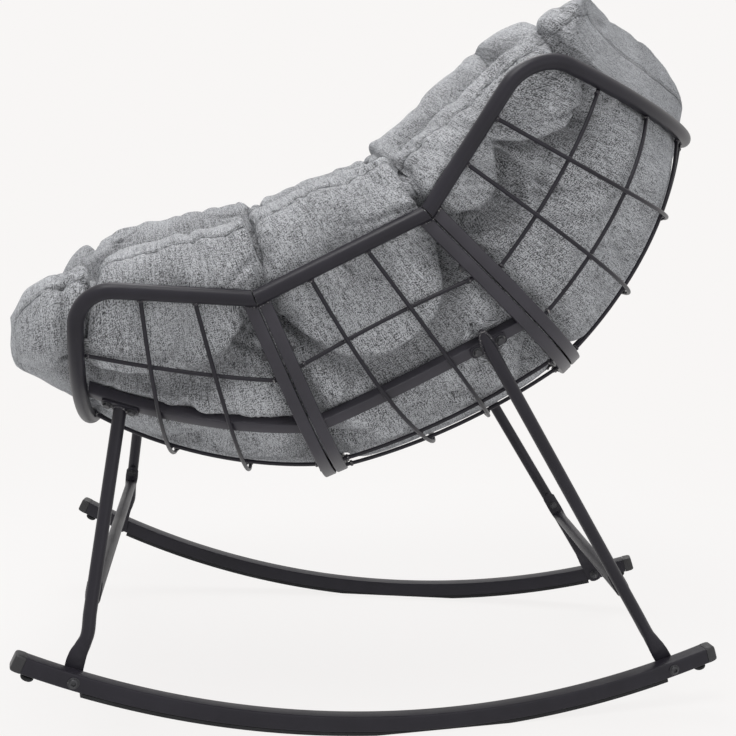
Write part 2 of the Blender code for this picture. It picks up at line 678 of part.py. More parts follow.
def build():
    clear_scene()
    # basket: front section
    end_rail("front_rail", 0, 1, CORNER_FRONT, -1)
    joint_bar("front_joint_bar", 1, -1)
    grid("front_grid", 0, [(theta_at(0, 0.41), theta_at(1, 0.39)), (theta_at(0, 0.90), theta_at(1, 0.88)),
                           (theta_x(0, 0.16), theta_x(1, 0.20))])
    # middle section
    pair("middle_rim", rim_tube(), "powder_coat", True)
    joint_bar("middle_front_bar", 1, 1)
    joint_bar("middle_rear_bar", 2, -1)
    grid("middle_grid", 1, [(theta_at(1, 0.35), theta_at(2, 0.33)), (theta_at(1, 0.87), theta_at(2, 0.85)),
                            (theta_x(1, 0.56), theta_x(2, 0.56)), (theta_x(1, 0.20), theta_x(2, 0.20))])
    # back section
    joint_bar("back_joint_bar", 2, 1)
    end_rail("back_rail", 3, 2, CORNER_TOP, 1)
    grid("back_grid", 2, [(theta_at(2, 0.36), theta_at(3, 0.35)), (theta_at(2, 0.64), theta_at(3, 0.64)),
                          (theta_at(2, 0.90), theta_at(3, 0.91)), (theta_x(2, 0.22), theta_x(3, 0.09))])
    # leg rails, legs with plates, crossbars
    rails = {}
    rockers = pair("rocker", arc_bar(np.linspace(ARC_FRONT, ARC_REAR, 25), ROCKER_R - ROCKER_H / 2, ROCKER_W,
                                     ROCKER_H, ROCKER_W / 2, 0.0014), "powder_coat")
    pair("rubber_strip", strip(), "rubber", placed=True)
    for end, arc, sgn in (("front", ARC_FRONT, -1), ("rear", ARC_REAR, 1)):
        d = math.degrees(GAP / ROCKER_R)
        arcs = sorted([arc + sgn * d, arc + sgn * CAP_DEG])
        pair(f"{end}_end_cap", arc_bar(arcs, ROCKER_R - ROCKER_H / 2, ROCKER_W + 0.0006, ROCKER_H + 0.0006,
                                       ROCKER_W / 2, 0.0022), "black_plastic")
    for end, arc in zip(("front", "rear"), FOOT_ARC):
        along, up, inward = rocker_dirs(arc)
        base = rocker_point(arc, ROCKER_R + GAP, ROCKER_W / 2)
        profile = [(0, 0.0050), (0.0016, 0.0050), (0.0018, 0.0078), (0.0046, 0.0078), (0.0066, 0.0060),
                   (0.0076, 0.0030)]
        pair(f"{end}_stop_pad", lathe(base, -up, profile, 12), "black_plastic", True)
    for end, arc, v, i, ends in (("front", BOLT_ARC[0], LEG_V[0], 0, FRONT_RAIL),
                                 ("rear", BOLT_ARC[1], LEG_V[1], 1, MID_RAIL)):
        rail, frame = leg_rail(i, ends, v)
        rails[end] = pair(f"{'front' if i == 0 else 'middle'}_leg_rail", rail, "powder_coat")
        lean = 0.0075 if end == "front" else 0.0
        tube, plate, (foot, inward), (face, along, out), (low, top) = leg_solids(arc, frame, lean)
        legs = pair(f"{end}_leg", tube, "powder_coat", True)
        holes = [hole(foot, inward, -0.006, 0.006, 0.0034)]
        plate_holes = [hole(face + along * s * BOLT_STEP, out, -0.030, 0.008, 0.0032) for s in (-1, 1)]
        # crossbar of this pair of legs
        leg_dir = unit(top - low)
        z = 0.209 if end == "front" else 0.159
        mid = low + leg_dir * ((z - low[2]) / leg_dir[2])
        across = unit(np.array([1.0, 0, 0]) - leg_dir * leg_dir[0])
        tab = mid - across * (LEG_R + GAP + 0.0020)
        bar = make(f"{end}_crossbar", *crossbar(tab, leg_dir, 0.010 if end == "front" else 0.020),
                   "powder_coat", True)
        bar_holes = [hole(tab, across, -0.006, 0.006, 0.0032)]
        if end == "rear":
            bar_holes.append(hole(tab + leg_dir * 0.0135, across, -0.006, 0.006, 0.0026))
        boolean(bar, bar_holes + [mirrored(q) for q in bar_holes], "DIFFERENCE")
        for ob, (side, s) in zip(legs, SIDES):
            flip = (lambda q: q) if s > 0 else mirrored
            boolean(ob, [flip(plate)], "UNION")
            blind = hole(tab, across, 0.0, 0.0120, 0.0032)
            boolean(ob, [flip(q) for q in holes + plate_holes + [blind]], "DIFFERENCE")
        for ob, (side, s) in zip(rails[end], SIDES):
            flip = (lambda q: q) if s > 0 else mirrored
            boolean(ob, [flip(q) for q in plate_holes], "DIFFERENCE")
        rocker_hole = hole(foot, inward, -0.030, 0.004, 0.0034)
        for ob, (side, s) in zip(rockers, SIDES):
            boolean(ob, [rocker_hole if s > 0 else mirrored(rocker_hole)], "DIFFERENCE")
        start = foot - inward * (ROCKER_W + GAP + 0.0025)
        pair(f"{end}_rocker_bolt", bolt(start, inward, 0.0032, ROCKER_W + GAP + 0.0050, True, 0.0031, n=10),
             "bolt_steel")
        for k, s in (("a", -1), ("b", 1)):
            at = face + out * PLATE_T + along * s * BOLT_STEP
            pair(f"{end}_plate_bolt_{k}", bolt(at, -out, 0.0026, PLATE_T + GAP + RAIL_D - 0.001, False),
                 "bolt_steel")
        at = tab - across * 0.0022
        pair(f"{end}_crossbar_bolt", bolt(at, across, 0.0026, 0.0110, False, 0.0029, 0.0045, 0.0052, 8),
             "bolt_steel")
    # joint bolts
    for label, v in (("front_joint", 1), ("rear_joint", 2)):
        bars = ([bpy.data.objects["front_joint_bar"], bpy.data.objects["middle_front_bar"]] if v == 1 else
                [bpy.data.objects["middle_rear_bar"], bpy.data.objects["back_joint_bar"]])
        n = plane(v)[1]
        for k, th in (("side", theta_at(v, 0.25)), ("lower", theta_x(v, 0.33))):
            o = out_dir(v - 0.01 if v > 1 else v, th)
            o = unit(o - n * (o @ n))
            c = on_basket(v, th) - o * (BAR_D / 2 - 0.002)
            drill = hole(c, n, -0.03, 0.03, 0.0032)
            for ob in bars:
                boolean(ob, [drill, mirrored(drill)], "DIFFERENCE")
            start = c + n * (JOINT_GAP + BAR_W)
            pair(f"{label}_bolt_{k}", bolt(start, -n, 0.0030, 2 * (JOINT_GAP + BAR_W), True), "bolt_steel")
    make("seat_cushion", *cushion(), "grey_fabric", True)


build()
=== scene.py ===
"""Looks of a rocking chair: a wire basket on bent tube legs and steel rockers, holding a thick tufted pad."""

import json
import math
from collections import namedtuple

import bmesh
import bpy
import numpy as np
from mathutils import Matrix, Vector, noise
from mathutils.bvhtree import BVHTree

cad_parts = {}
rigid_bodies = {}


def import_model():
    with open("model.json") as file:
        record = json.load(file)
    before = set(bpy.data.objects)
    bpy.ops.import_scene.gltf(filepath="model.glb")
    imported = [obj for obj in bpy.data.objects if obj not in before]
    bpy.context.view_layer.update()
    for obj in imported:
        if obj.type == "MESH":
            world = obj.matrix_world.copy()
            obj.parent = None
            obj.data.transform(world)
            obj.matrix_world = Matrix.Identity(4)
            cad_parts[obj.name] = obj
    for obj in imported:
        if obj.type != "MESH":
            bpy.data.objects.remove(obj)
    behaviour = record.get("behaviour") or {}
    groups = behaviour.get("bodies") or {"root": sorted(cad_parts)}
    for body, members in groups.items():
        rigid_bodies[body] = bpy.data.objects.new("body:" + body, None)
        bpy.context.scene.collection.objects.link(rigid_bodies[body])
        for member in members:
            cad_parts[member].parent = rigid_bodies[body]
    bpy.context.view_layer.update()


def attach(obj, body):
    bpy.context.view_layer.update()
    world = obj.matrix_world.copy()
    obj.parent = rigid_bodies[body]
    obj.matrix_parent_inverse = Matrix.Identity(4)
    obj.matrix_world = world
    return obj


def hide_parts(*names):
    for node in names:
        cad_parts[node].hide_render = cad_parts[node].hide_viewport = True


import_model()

bl_info = {
    "name": "Rocking chair looks",
    "version": (1, 0, 0),
    "blender": (4, 5, 0),
    "location": "3D View > Sidebar > Chair",
    "description": "Dresses the chair's frame: steel tube and wire, rubber, bolts and a tufted pad",
    "category": "Object",
}

SIDES = (("left", 1.0), ("right", -1.0))
CLEAR = 0.0003                  # gap between pieces that are bolted together
BAR_PROUD = 0.0020              # how far the joint bars stand out of the basket's surface
RAIL_INSET = 0.0039             # the leg rails' outer faces lie this far inside the basket's surface
PLATE = 0.0030                  # thickness of the plate on top of a leg
BAR_ROUND = 0.0016              # corner radius of the square joint bars and leg rails
END_INSET = 0.0092              # from the middle of an end tube to where the wires meet it
WIRES_MEET = 0.012              # wires nearer than this are welded where they cross
WIRE_INSET = 0.0052             # long wires lie this far inside the basket's surface

# rows: y, z, lean in degrees, half width, depth and squareness of the basket's outline at its four sections
STATIONS = np.array([[-0.4497, 0.5620, -4.4, 0.3100, 0.1990, 1.95],
                     [-0.2527, 0.5474, 22.9, 0.2990, 0.2735, 2.95],
                     [-0.0557, 0.6422, 45.6, 0.2850, 0.3040, 2.90],
                     [0.0620, 0.8263, 69.0, 0.2850, 0.2900, 1.45]])
# what is added to them halfway between one section and the next
BULGE = np.array([[0, 0, 0, 0, 0.022, -0.25], [0, 0, 0, 0, 0.017, -0.30], [0, 0, 2.0, 0, 0.016, 0.35]])
# v of the wires from rim to rim: at the rims and at the bottom
CROSS_WIRES = ((0.35, 0.35), (0.65, 0.65), (1.30, 1.40), (1.625, 1.625), (2.325, 2.325), (2.60, 2.65))
# rows of v and how high the pad's left lip stands over the rims, along the section
LIP = np.array([(-0.41, -0.050), (-0.32, -0.012), (-0.20, 0.004), (-0.05, 0.010), (0.09, 0.018),
                (0.19, 0.032), (0.37, 0.042), (0.65, 0.058), (0.92, 0.074), (1.12, 0.080), (1.34, 0.078),
                (1.60, 0.080), (1.90, 0.074), (2.15, 0.062), (2.30, 0.050), (2.51, 0.034), (2.75, 0.018),
                (2.90, 0.008), (3.00, 0.002), (3.15, -0.006), (3.30, -0.020), (3.47, -0.056)])
# rows of v and how much lower the right lip slumps
FAR_DROP = np.array([(-0.25, 0.0), (0.05, -0.012), (0.3, 0.0), (1.1, 0.0), (1.3, 0.014), (1.9, 0.012),
                     (2.25, 0.006), (2.6, 0.004), (2.9, 0.002), (3.2, 0.0)])
FAR_PINCHES = (-0.26, 1.13, 2.10, 2.98)   # v where the right lip is pinched


class ChairSizes(bpy.types.PropertyGroup):
    """Sizes of the pieces, in metres and degrees."""
    tube: bpy.props.FloatProperty(name="Rim tube",
        description="Radius of the rim tube", default=0.0095, unit="LENGTH")
    leg: bpy.props.FloatProperty(name="Leg tube",
        description="Radius of the leg tube", default=0.0080, unit="LENGTH")
    wire: bpy.props.FloatProperty(name="Wire",
        description="Radius of the grid wire", default=0.0025, unit="LENGTH")
    bar_width: bpy.props.FloatProperty(name="Joint bar width",
        description="Along the chair", default=0.0144, unit="LENGTH")
    bar_depth: bpy.props.FloatProperty(name="Joint bar depth",
        description="Through the basket wall", default=0.0170, unit="LENGTH")
    rail: bpy.props.FloatProperty(name="Leg rail",
        description="Side of the square rail", default=0.0150, unit="LENGTH")
    joint_gap: bpy.props.FloatProperty(name="Joint gap",
        description="Half the gap between two joint bars", default=0.0009, unit="LENGTH")
    rocker_radius: bpy.props.FloatProperty(name="Rocker radius",
        description="Outer radius of the rocker bar", default=1.1924, unit="LENGTH")
    rocker: bpy.props.FloatProperty(name="Rocker bar",
        description="Side of the square rocker bar", default=0.0200, unit="LENGTH")
    rocker_half: bpy.props.FloatProperty(name="Half spacing",
        description="From the middle to a rocker's outer face", default=0.2536, unit="LENGTH")
    toe: bpy.props.FloatProperty(name="Toe in",
        description="Degrees each rocker turns in towards the rear", default=9.5)
    strip: bpy.props.FloatProperty(name="Strip",
        description="Thickness of the rubber strip", default=0.0053, unit="LENGTH")
    flat: bpy.props.FloatProperty(name="Flat",
        description="Half angle of the strip's flat at the floor", default=4.2)
    settle: bpy.props.FloatProperty(name="Settle",
        description="Degrees the chair rolls forward on that flat", default=1.2)
    origin_y: bpy.props.FloatProperty(name="Contact",
        description="Floor contact behind the middle of the length", default=0.0745, unit="LENGTH")
    pad: bpy.props.FloatProperty(name="Pad thickness",
        description="Thickness of the pad between its faces", default=0.106, unit="LENGTH")
    pad_inset: bpy.props.FloatProperty(name="Pad inset",
        description="Pad's outer face inside the basket's surface", default=0.0225, unit="LENGTH")
    pad_cell: bpy.props.FloatProperty(name="Pad cell",
        description="Mesh size of the simulated cloth", default=0.0105, unit="LENGTH")
    lens: bpy.props.FloatProperty(name="Lens",
        description="Focal length of the camera in millimetres", default=65.43)


class ChairColours(bpy.types.PropertyGroup):
    """Colours of the finishes."""
    steel: bpy.props.FloatVectorProperty(name="Powder coat",
        description="Satin charcoal coat on the steel", size=3, subtype="COLOR",
        default=(0.0185, 0.0168, 0.0225))
    # painted light: a paler copy of the steel coat for the joint bars and leg rails, standing in for the
    # light their outward faces catch
    bars: bpy.props.FloatVectorProperty(name="Bar coat",
        description="The same coat where it lies thin on the bars", size=3, subtype="COLOR",
        default=(0.0340, 0.0310, 0.0390))
    rubber: bpy.props.FloatVectorProperty(name="Rubber",
        description="Strips and pads", size=3, subtype="COLOR",
        default=(0.0150, 0.0150, 0.0160))
    plastic: bpy.props.FloatVectorProperty(name="Plastic",
        description="Caps in the rocker ends", size=3, subtype="COLOR",
        default=(0.0180, 0.0175, 0.0190))
    bolt: bpy.props.FloatVectorProperty(name="Bolts",
        description="Blackened steel", size=3, subtype="COLOR",
        default=(0.050, 0.050, 0.054))
    yarn_light: bpy.props.FloatVectorProperty(name="Light yarn",
        description="Light fibres of the cloth", size=3, subtype="COLOR",
        default=(0.585, 0.589, 0.604))
    yarn_dark: bpy.props.FloatVectorProperty(name="Dark yarn",
        description="Dark fibres of the cloth", size=3, subtype="COLOR",
        default=(0.052, 0.051, 0.053))
    # painted shade: the dark line laid along the sewn seams stands for the shade in their grooves
    thread: bpy.props.FloatVectorProperty(name="Seam",
        description="Shade in the sewn seams", size=3, subtype="COLOR",
        default=(0.045, 0.046, 0.050))
    floor: bpy.props.FloatVectorProperty(name="Floor",
        description="Pale studio floor", size=3, subtype="COLOR",
        default=(0.920, 0.920, 0.915))
    backdrop: bpy.props.FloatVectorProperty(name="Backdrop",
        description="Pale wall behind the floor", size=3, subtype="COLOR",
        default=(0.938, 0.922, 0.913))


def sizes():
    """The scene's sizes."""
    return bpy.context.scene.chair_sizes


def colours():
    """The scene's colours."""
    return bpy.context.scene.chair_colours


# shapes: numpy throughout, built before the chair settles on its strips

def unit(v):
    """Vectors divided by their lengths."""
    v = np.asarray(v, float)
    return v / np.maximum(np.linalg.norm(v, axis=-1, keepdims=True), 1e-12)


def smooth(a, b, x):
    """0 at a, 1 at b and 3 t squared minus 2 t cubed between; a may be the larger."""
    t = np.clip((np.asarray(x, float) - a) / (b - a), 0, 1)
    return t * t * (3 - 2 * t)


def bell(x, wide):
    """e to the power of minus (x over the width) squared."""
    return np.exp(-(x / wide) ** 2)


def pleat(d, wide):
    """Across a fold: a sharp groove with a soft ridge on either side."""
    return bell(d, wide) - 0.42 * bell(np.abs(d) - 2.2 * wide, 1.5 * wide)


def contact_height():
    """Height of the rockers' centre: the strip's outer radius times the cosine of its flat's half angle."""
    s = sizes()
    return (s.rocker_radius + s.strip) * math.cos(math.radians(s.flat))


def settled(points, turn_only=False):
    """Built points rolled forward on the rockers about their centre and moved so the length is centred."""
    s = sizes()
    a, zc = math.radians(s.settle), 0.0 if turn_only else contact_height()
    p = np.array(points, float)
    y, z = p[..., 1].copy(), p[..., 2] - zc
    p[..., 1] = y * math.cos(a) - z * math.sin(a) + (0.0 if turn_only else s.origin_y)
    p[..., 2] = z * math.cos(a) + y * math.sin(a) + zc
    return p


def station(v):
    """The basket's section at v: straight between the four stations, plus a parabola of bulge."""
    v = np.asarray(v, float)
    i = np.clip(np.floor(v).astype(int), 0, 2)
    t = (v - i)[..., None]
    return STATIONS[i] * (1 - t) + STATIONS[i + 1] * t + BULGE[i] * 4 * t * (1 - t)


def place(row, x, depth):
    """A point of a leaning section: x across, depth down from its top line, turned by the lean."""
    a = np.radians(row[..., 2])
    x, depth, y, z, a = np.broadcast_arrays(x, depth, row[..., 0], row[..., 1], a)
    return np.stack([x, y + np.sin(a) * depth, z - np.cos(a) * depth], -1)


def outline(row, th, inset=0.0):
    """A superellipse: half width times cos to the power 2/n, depth times sin to the power 2/n."""
    c, s = np.cos(th), np.sin(th)
    e = 2.0 / row[..., 5]
    return (row[..., 3] - inset) * np.sign(c) * np.abs(c) ** e, (row[..., 4] - inset) * np.abs(s) ** e


def on_basket(v, th):
    """The basket's surface: the outline's point at th, placed in the section at v."""
    v, th = np.broadcast_arrays(np.asarray(v, float), np.asarray(th, float))
    row = station(v)
    return place(row, *outline(row, th))


def outward(v, th):
    """Direction out of the basket wall, from the cross product of its two tangents."""
    d = 1e-3
    v, th = np.broadcast_arrays(np.clip(v, 2 * d, 3 - 2 * d), np.clip(th, 2 * d, math.pi - 2 * d))
    return unit(np.cross(on_basket(v, th + d) - on_basket(v, th - d),
                         on_basket(v + d, th) - on_basket(v - d, th)))


def plane(v):
    """The section at v as a plane: its middle point and its normal, which follows the lean."""
    row = station(v)
    a = math.radians(row[2])
    return np.array([0, row[0], row[1]]), np.array([0, math.cos(a), math.sin(a)])


def theta_at(v, share):
    """The outline's angle at a share of the section's depth: the outline's formula solved for the sine."""
    return math.asin(min(1.0, share) ** (station(v)[5] / 2))


def theta_x(v, share):
    """The outline's angle at a share of the half width: the formula solved for the cosine."""
    return math.acos(share ** (station(v)[5] / 2))


def rim_dir(i):
    """Direction of the straight rim from station i to the next."""
    return unit(np.array([0.0, *(STATIONS[i + 1] - STATIONS[i])[:2]]))


def rim_down(i):
    """Square to that rim in the upright plane, and downward."""
    d = rim_dir(i)
    n = unit(np.array([0.0, d[2], -d[1]]))
    return n if n[2] < 0 else -n


def length_along(path):
    """Running sum of the distances between neighbours."""
    return np.concatenate([[0], np.cumsum(np.linalg.norm(np.diff(path, axis=0), axis=1))])


def resample(path, step):
    """The same path at even steps."""
    path = np.asarray(path, float)
    s = length_along(path)
    q = np.linspace(0, s[-1], max(3, int(round(s[-1] / step)) + 1))
    return np.stack([np.interp(q, s, path[:, k]) for k in range(path.shape[1])], 1)


def tangents(path):
    """Unit central differences."""
    return unit(np.gradient(np.asarray(path, float), axis=0))


def circle(r, n):
    """r times the cosine and the sine of n even angles."""
    a = 2 * np.pi * np.arange(n) / n
    return np.stack([r * np.cos(a), r * np.sin(a)], 1)


def box(wide, deep, r=0.0014, n=4):
    """Rectangle with round corners."""
    a = np.linspace(0, math.pi / 2, n)
    corner = np.stack([np.cos(a), np.sin(a)], 1) * r
    out = []
    for k, (sx, sy) in enumerate(((1, 1), (-1, 1), (-1, -1), (1, -1))):
        c, s = math.cos(k * math.pi / 2), math.sin(k * math.pi / 2)
        turned = corner @ np.array([[c, s], [-s, c]])
        out.append(turned + np.array([sx * (wide / 2 - r), sy * (deep / 2 - r)]))
    return np.concatenate(out)


def sweep(path, profile, ups, cuts=(None, None)):
    """A profile, or one per point, carried along a path; each end may be slid onto a plane."""
    path = np.asarray(path, float)
    n, t = len(path), tangents(path)
    ups = np.broadcast_to(np.asarray(ups, float), (n, 3))
    y = unit(ups - t * np.sum(ups * t, 1)[:, None])
    x = np.cross(y, t)
    prof = np.asarray(profile, float)
    prof = np.broadcast_to(prof, (n,) + prof.shape) if prof.ndim == 2 else prof
    m = prof.shape[1]
    rings = path[:, None] + prof[..., :1] * x[:, None] + prof[..., 1:] * y[:, None]
    for i, cut in ((0, cuts[0]), (n - 1, cuts[1])):
        if cut is not None:
            s = ((cut[0] - rings[i]) @ cut[1]) / np.dot(t[i], cut[1])
            rings[i] = rings[i] + s[:, None] * t[i]
    return rings.reshape(-1, 3), tube_faces(n, m)


def tube_faces(n, m, closed=False):
    """Quads between n rings of m points, and the two end faces."""
    i, j = np.meshgrid(np.arange(n if closed else n - 1), np.arange(m), indexing="ij")
    i2, j2 = (i + 1) % n, (j + 1) % m
    quads = np.stack([i * m + j, i * m + j2, i2 * m + j2, i2 * m + j], -1).reshape(-1, 4)
    faces = [tuple(q) for q in quads.tolist()]
    if not closed:
        faces += [tuple(range(m))[::-1], tuple((n - 1) * m + k for k in range(m))]
    return faces


def lathe(origin, axis, profile, n=36, hexed=()):
    """Rows of (distance along the axis, radius) turned about it; the rings named in hexed are hexagons."""
    axis = unit(axis)
    side = unit(np.cross(axis, (0.31, 0.17, 0.93)))
    other = np.cross(axis, side)
    a = 2 * np.pi * np.arange(n) / n
    ring = np.cos(a)[:, None] * side + np.sin(a)[:, None] * other
    wave = math.cos(math.pi / 6) / np.cos((a + math.pi / 6) % (math.pi / 3) - math.pi / 6)
    rings = [np.asarray(origin) + s * axis + (r * (wave if k in hexed else np.ones(n)))[:, None] * ring
             for k, (s, r) in enumerate(profile)]
    return np.concatenate(rings), tube_faces(len(profile), n)


def on_side(solid, side):
    """The left solid itself, or its mirror image with its faces turned back outwards."""
    v, f = solid
    return solid if side > 0 else (np.asarray(v) * (-1, 1, 1), [q[::-1] for q in f])


def merged(parts):
    """Several solids as one."""
    verts, faces, base = [], [], 0
    for v, f in parts:
        verts.append(np.asarray(v, float))
        faces += [tuple(i + base for i in q) for q in f]
        base += len(v)
    return np.concatenate(verts), faces


def bead(at, axis, wide, long, seed):
    """A weld bead: an ellipsoid round the wire with low waves on its skin, other ones for each seed."""
    n, m = 7, 12
    u = np.linspace(0.12, math.pi - 0.12, n)[:, None]
    w = np.linspace(0, 2 * math.pi, m, endpoint=False)[None, :]
    lump = 1 + 0.10 * np.sin(3 * w + seed * 1.7) * np.sin(2 * u + seed) + 0.07 * np.cos(5 * w - seed * 2.3)
    axis = unit(axis)
    side = unit(np.cross(axis, (0.31, 0.17, 0.93)))
    other = np.cross(axis, side)
    r = wide * np.sin(u) * lump
    p = (np.asarray(at) + (long * np.cos(u) * np.ones_like(w))[..., None] * axis +
         (r * np.cos(w))[..., None] * side + (r * np.sin(w))[..., None] * other)
    return p.reshape(-1, 3), tube_faces(n, m)


def ring(points, r, seed=0.0, m=8):
    """A closed bead along a loop of points, with the ripples of a weld."""
    p = np.asarray(points, float)
    n = len(p)
    t = unit(np.roll(p, -1, 0) - np.roll(p, 1, 0))
    middle = p.mean(0)
    y = unit((p - middle) - t * np.sum((p - middle) * t, 1)[:, None])
    x = np.cross(y, t)
    a = 2 * np.pi * np.arange(m) / m
    ripple = r * (1 + 0.16 * np.sin(np.arange(n) * 2 * math.pi * 9 / n + seed))
    spokes = np.cos(a)[None, :, None] * x[:, None] + np.sin(a)[None, :, None] * y[:, None]
    rings = p[:, None] + ripple[:, None, None] * spokes
    return rings.reshape(-1, 3), tube_faces(n, m, closed=True)


def linked(name, data):
    """A new object in the scene's own collection."""
    ob = bpy.data.objects.new(name, data)
    bpy.context.scene.collection.objects.link(ob)
    return ob


def piece(name, solid, finish, nodes, sharp=35.0, placed=False):
    """One shown mesh that stands for CAD nodes, at the origin and riding on the chair's one body."""
    verts, faces = solid
    verts = verts if placed else settled(verts)
    mesh = bpy.data.meshes.new(name)
    mesh.from_pydata([tuple(v) for v in np.asarray(verts, float).tolist()], [], faces)
    mesh.update()
    mesh.validate()
    mesh.materials.append(look(finish))
    mesh.polygons.foreach_set("use_smooth", np.ones(len(mesh.polygons), bool))
    ob = linked(name, mesh)
    outward_faces(ob)
    mesh.set_sharp_from_angle(angle=math.radians(sharp))
    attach(ob, "root")
    if nodes:
        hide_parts(*nodes)


def outward_faces(ob):
    """Normals recalculated, which a mirror image and a path run backwards need."""
    bm = bmesh.new()
    bm.from_mesh(ob.data)
    bmesh.ops.recalc_face_normals(bm, faces=bm.faces)
    bm.to_mesh(ob.data)
    bm.free()


# materials

class Wire:
    """A node's output that can be reckoned with: each operator adds a Math node."""

    def __init__(self, tree, out):
        self.tree, self.out = tree, out

    def math(self, operation, *values, clamp=False):
        n = self.tree.nodes.new("ShaderNodeMath")
        n.operation, n.use_clamp = operation, clamp
        for socket, value in zip(n.inputs, values):
            feed(self.tree, socket, value)
        return Wire(self.tree, n.outputs[0])

    def __add__(self, o): return self.math("ADD", self, o)
    def __radd__(self, o): return self.math("ADD", o, self)
    def __sub__(self, o): return self.math("SUBTRACT", self, o)
    def __rsub__(self, o): return self.math("SUBTRACT", o, self)
    def __mul__(self, o): return self.math("MULTIPLY", self, o)
    def __rmul__(self, o): return self.math("MULTIPLY", o, self)
    def sin(self): return self.math("SINE", self)
    def abs(self): return self.math("ABSOLUTE", self)
    def clamp(self): return self.math("ADD", self, 0.0, clamp=True)

    def ramp(self, low, high):
        """0 below low, 1 above high and smooth between."""
        n = self.tree.nodes.new("ShaderNodeMapRange")
        n.interpolation_type = "SMOOTHSTEP"
        feed(self.tree, n.inputs["Value"], self)
        n.inputs["From Min"].default_value, n.inputs["From Max"].default_value = low, high
        return Wire(self.tree, n.outputs["Result"])


def feed(tree, socket, value):
    """Links a wire to a socket, or sets the socket's own value."""
    if isinstance(value, Wire):
        tree.links.new(value.out, socket)
    elif hasattr(value, "__len__") and len(value) == 3 and socket.type == "RGBA":
        socket.default_value = (*value, 1.0)
    else:
        socket.default_value = value


def shaded(colour, by):
    """A colour with each channel multiplied."""
    return tuple(x * by for x in colour)


class Finish:
    """A material being built; node() makes any node from its type, settings and socket values."""

    def __init__(self, name):
        self.mat = bpy.data.materials.new(name)
        self.mat.use_nodes = True
        self.tree = self.mat.node_tree
        self.shader = self.tree.nodes["Principled BSDF"]

    def node(self, kind, settings=None, out=0, **sockets):
        n = self.tree.nodes.new("ShaderNode" + kind)
        for key, value in (settings or {}).items():
            setattr(n, key, value)
        for key, value in sockets.items():
            feed(self.tree, n.inputs[int(key[1:]) if key[0] == "_" else key.replace("_", " ")], value)
        return Wire(self.tree, n.outputs[out])

    def coords(self, scale=(1, 1, 1), uv=False):
        source = self.node("TexCoord", out="UV" if uv else "Object")
        return self.node("Mapping", Vector=source, Scale=scale)

    def noise(self, where, scale, detail=3.0, rough=0.5):
        return self.node("TexNoise", Vector=where, Scale=scale, Detail=detail, Roughness=rough)

    def mix(self, factor, a, b):
        return self.node("Mix", {"data_type": "RGBA"}, out=2, _0=factor, _6=a, _7=b)

    def bump(self, height, distance, strength, normal=None):
        more = {"Normal": normal} if normal is not None else {}
        return self.node("Bump", Strength=strength, Distance=distance, Height=height, **more)

    def set(self, **sockets):
        for key, value in sockets.items():
            feed(self.tree, self.shader.inputs[key.replace("_", " ")], value)
        return self.mat


def powder_coat(name="steel", gloss=0.24):
    """Satin charcoal powder coat: orange peel, faint clouding, thin dust on upward faces and fine rubs."""
    f = Finish(name + "_coat")
    # for the joint bars and leg rails this is the paler colour with painted light in it
    c = getattr(colours(), name)
    where = f.coords()
    peel = f.noise(where, 900.0, 2.0, 0.55)
    slow = f.noise(where, 14.0, 4.0, 0.6)
    grain = f.noise(where, 2600.0, 1.0, 0.5)
    rub = f.noise(f.coords((60, 60, 400)), 3.0, 5.0, 0.7).ramp(0.66, 0.80)
    up = f.node("SeparateXYZ", Vector=f.node("NewGeometry", out="Normal"), out="Z")
    dust = (up.ramp(0.35, 1.0) * slow.ramp(0.40, 0.72) * 0.30).clamp()
    base = f.mix(slow.ramp(0.3, 0.7), shaded(c, 0.86), shaded(c, 1.16))
    base = f.mix(grain.ramp(0.50, 0.75) * 0.25, base, shaded(c, 2.1))
    base = f.mix(rub * 0.22, base, shaded(c, 2.6))
    base = f.mix(dust * 0.35, base, (0.060, 0.059, 0.060))
    rough = 0.33 + slow * 0.10 + dust * 0.35 - rub * 0.06 + (grain - 0.5) * 0.10
    skin = f.bump(peel * 0.75 + slow * 0.25, 0.00022, 0.55)
    return f.set(Base_Color=base, Roughness=rough.clamp(), Normal=skin, Specular_IOR_Level=gloss)


def bar_coat():
    """The same powder coat, glossier on the joint bars and leg rails and painted a shade paler there: painted
    light for the light their outward faces catch.
    """
    return powder_coat("bars", 0.34)


def rubber_look():
    """Dull rubber: fine grain, pale scuffs and dust picked up from the floor."""
    f = Finish("rubber_look")
    c = colours().rubber
    where = f.coords()
    grain, cloud = f.noise(where, 1500.0, 3.0, 0.6), f.noise(where, 35.0, 4.0, 0.6)
    scuff = f.noise(f.coords((500, 30, 200)), 2.0, 4.0, 0.7).ramp(0.60, 0.76)
    base = f.mix(cloud.ramp(0.35, 0.75) * 0.5, c, shaded(c, 2.3))
    base = f.mix(scuff * 0.35, base, (0.085, 0.083, 0.080))
    return f.set(Base_Color=base, Roughness=(0.74 + grain * 0.16).clamp(),
                 Normal=f.bump(grain + cloud * 0.6, 0.0002, 0.6), Specular_IOR_Level=0.35)


def plastic_look():
    """Moulded plastic: fine spark texture and soft clouding in the gloss."""
    f = Finish("plastic_look")
    c = colours().plastic
    where = f.coords()
    spark, cloud = f.noise(where, 1900.0, 2.0, 0.5), f.noise(where, 50.0, 3.0, 0.5)
    base = f.mix(cloud, c, shaded(c, 1.5))
    return f.set(Base_Color=base, Roughness=(0.40 + cloud * 0.16).clamp(),
                 Normal=f.bump(spark, 0.00012, 0.5), Specular_IOR_Level=0.5)


def bolt_look():
    """Blackened steel: metallic under a thin dark film, bright where it has rubbed."""
    f = Finish("bolt_look")
    c = colours().bolt
    where = f.coords()
    cloud, fine = f.noise(where, 160.0, 4.0, 0.6), f.noise(where, 2200.0, 2.0, 0.5)
    worn = cloud.ramp(0.58, 0.74)
    base = f.mix(worn, c, (0.24, 0.235, 0.23))
    return f.set(Base_Color=base, Metallic=(0.55 + worn * 0.4).clamp(),
                 Roughness=(0.34 + fine * 0.16).clamp(), Normal=f.bump(fine, 0.00008, 0.5))


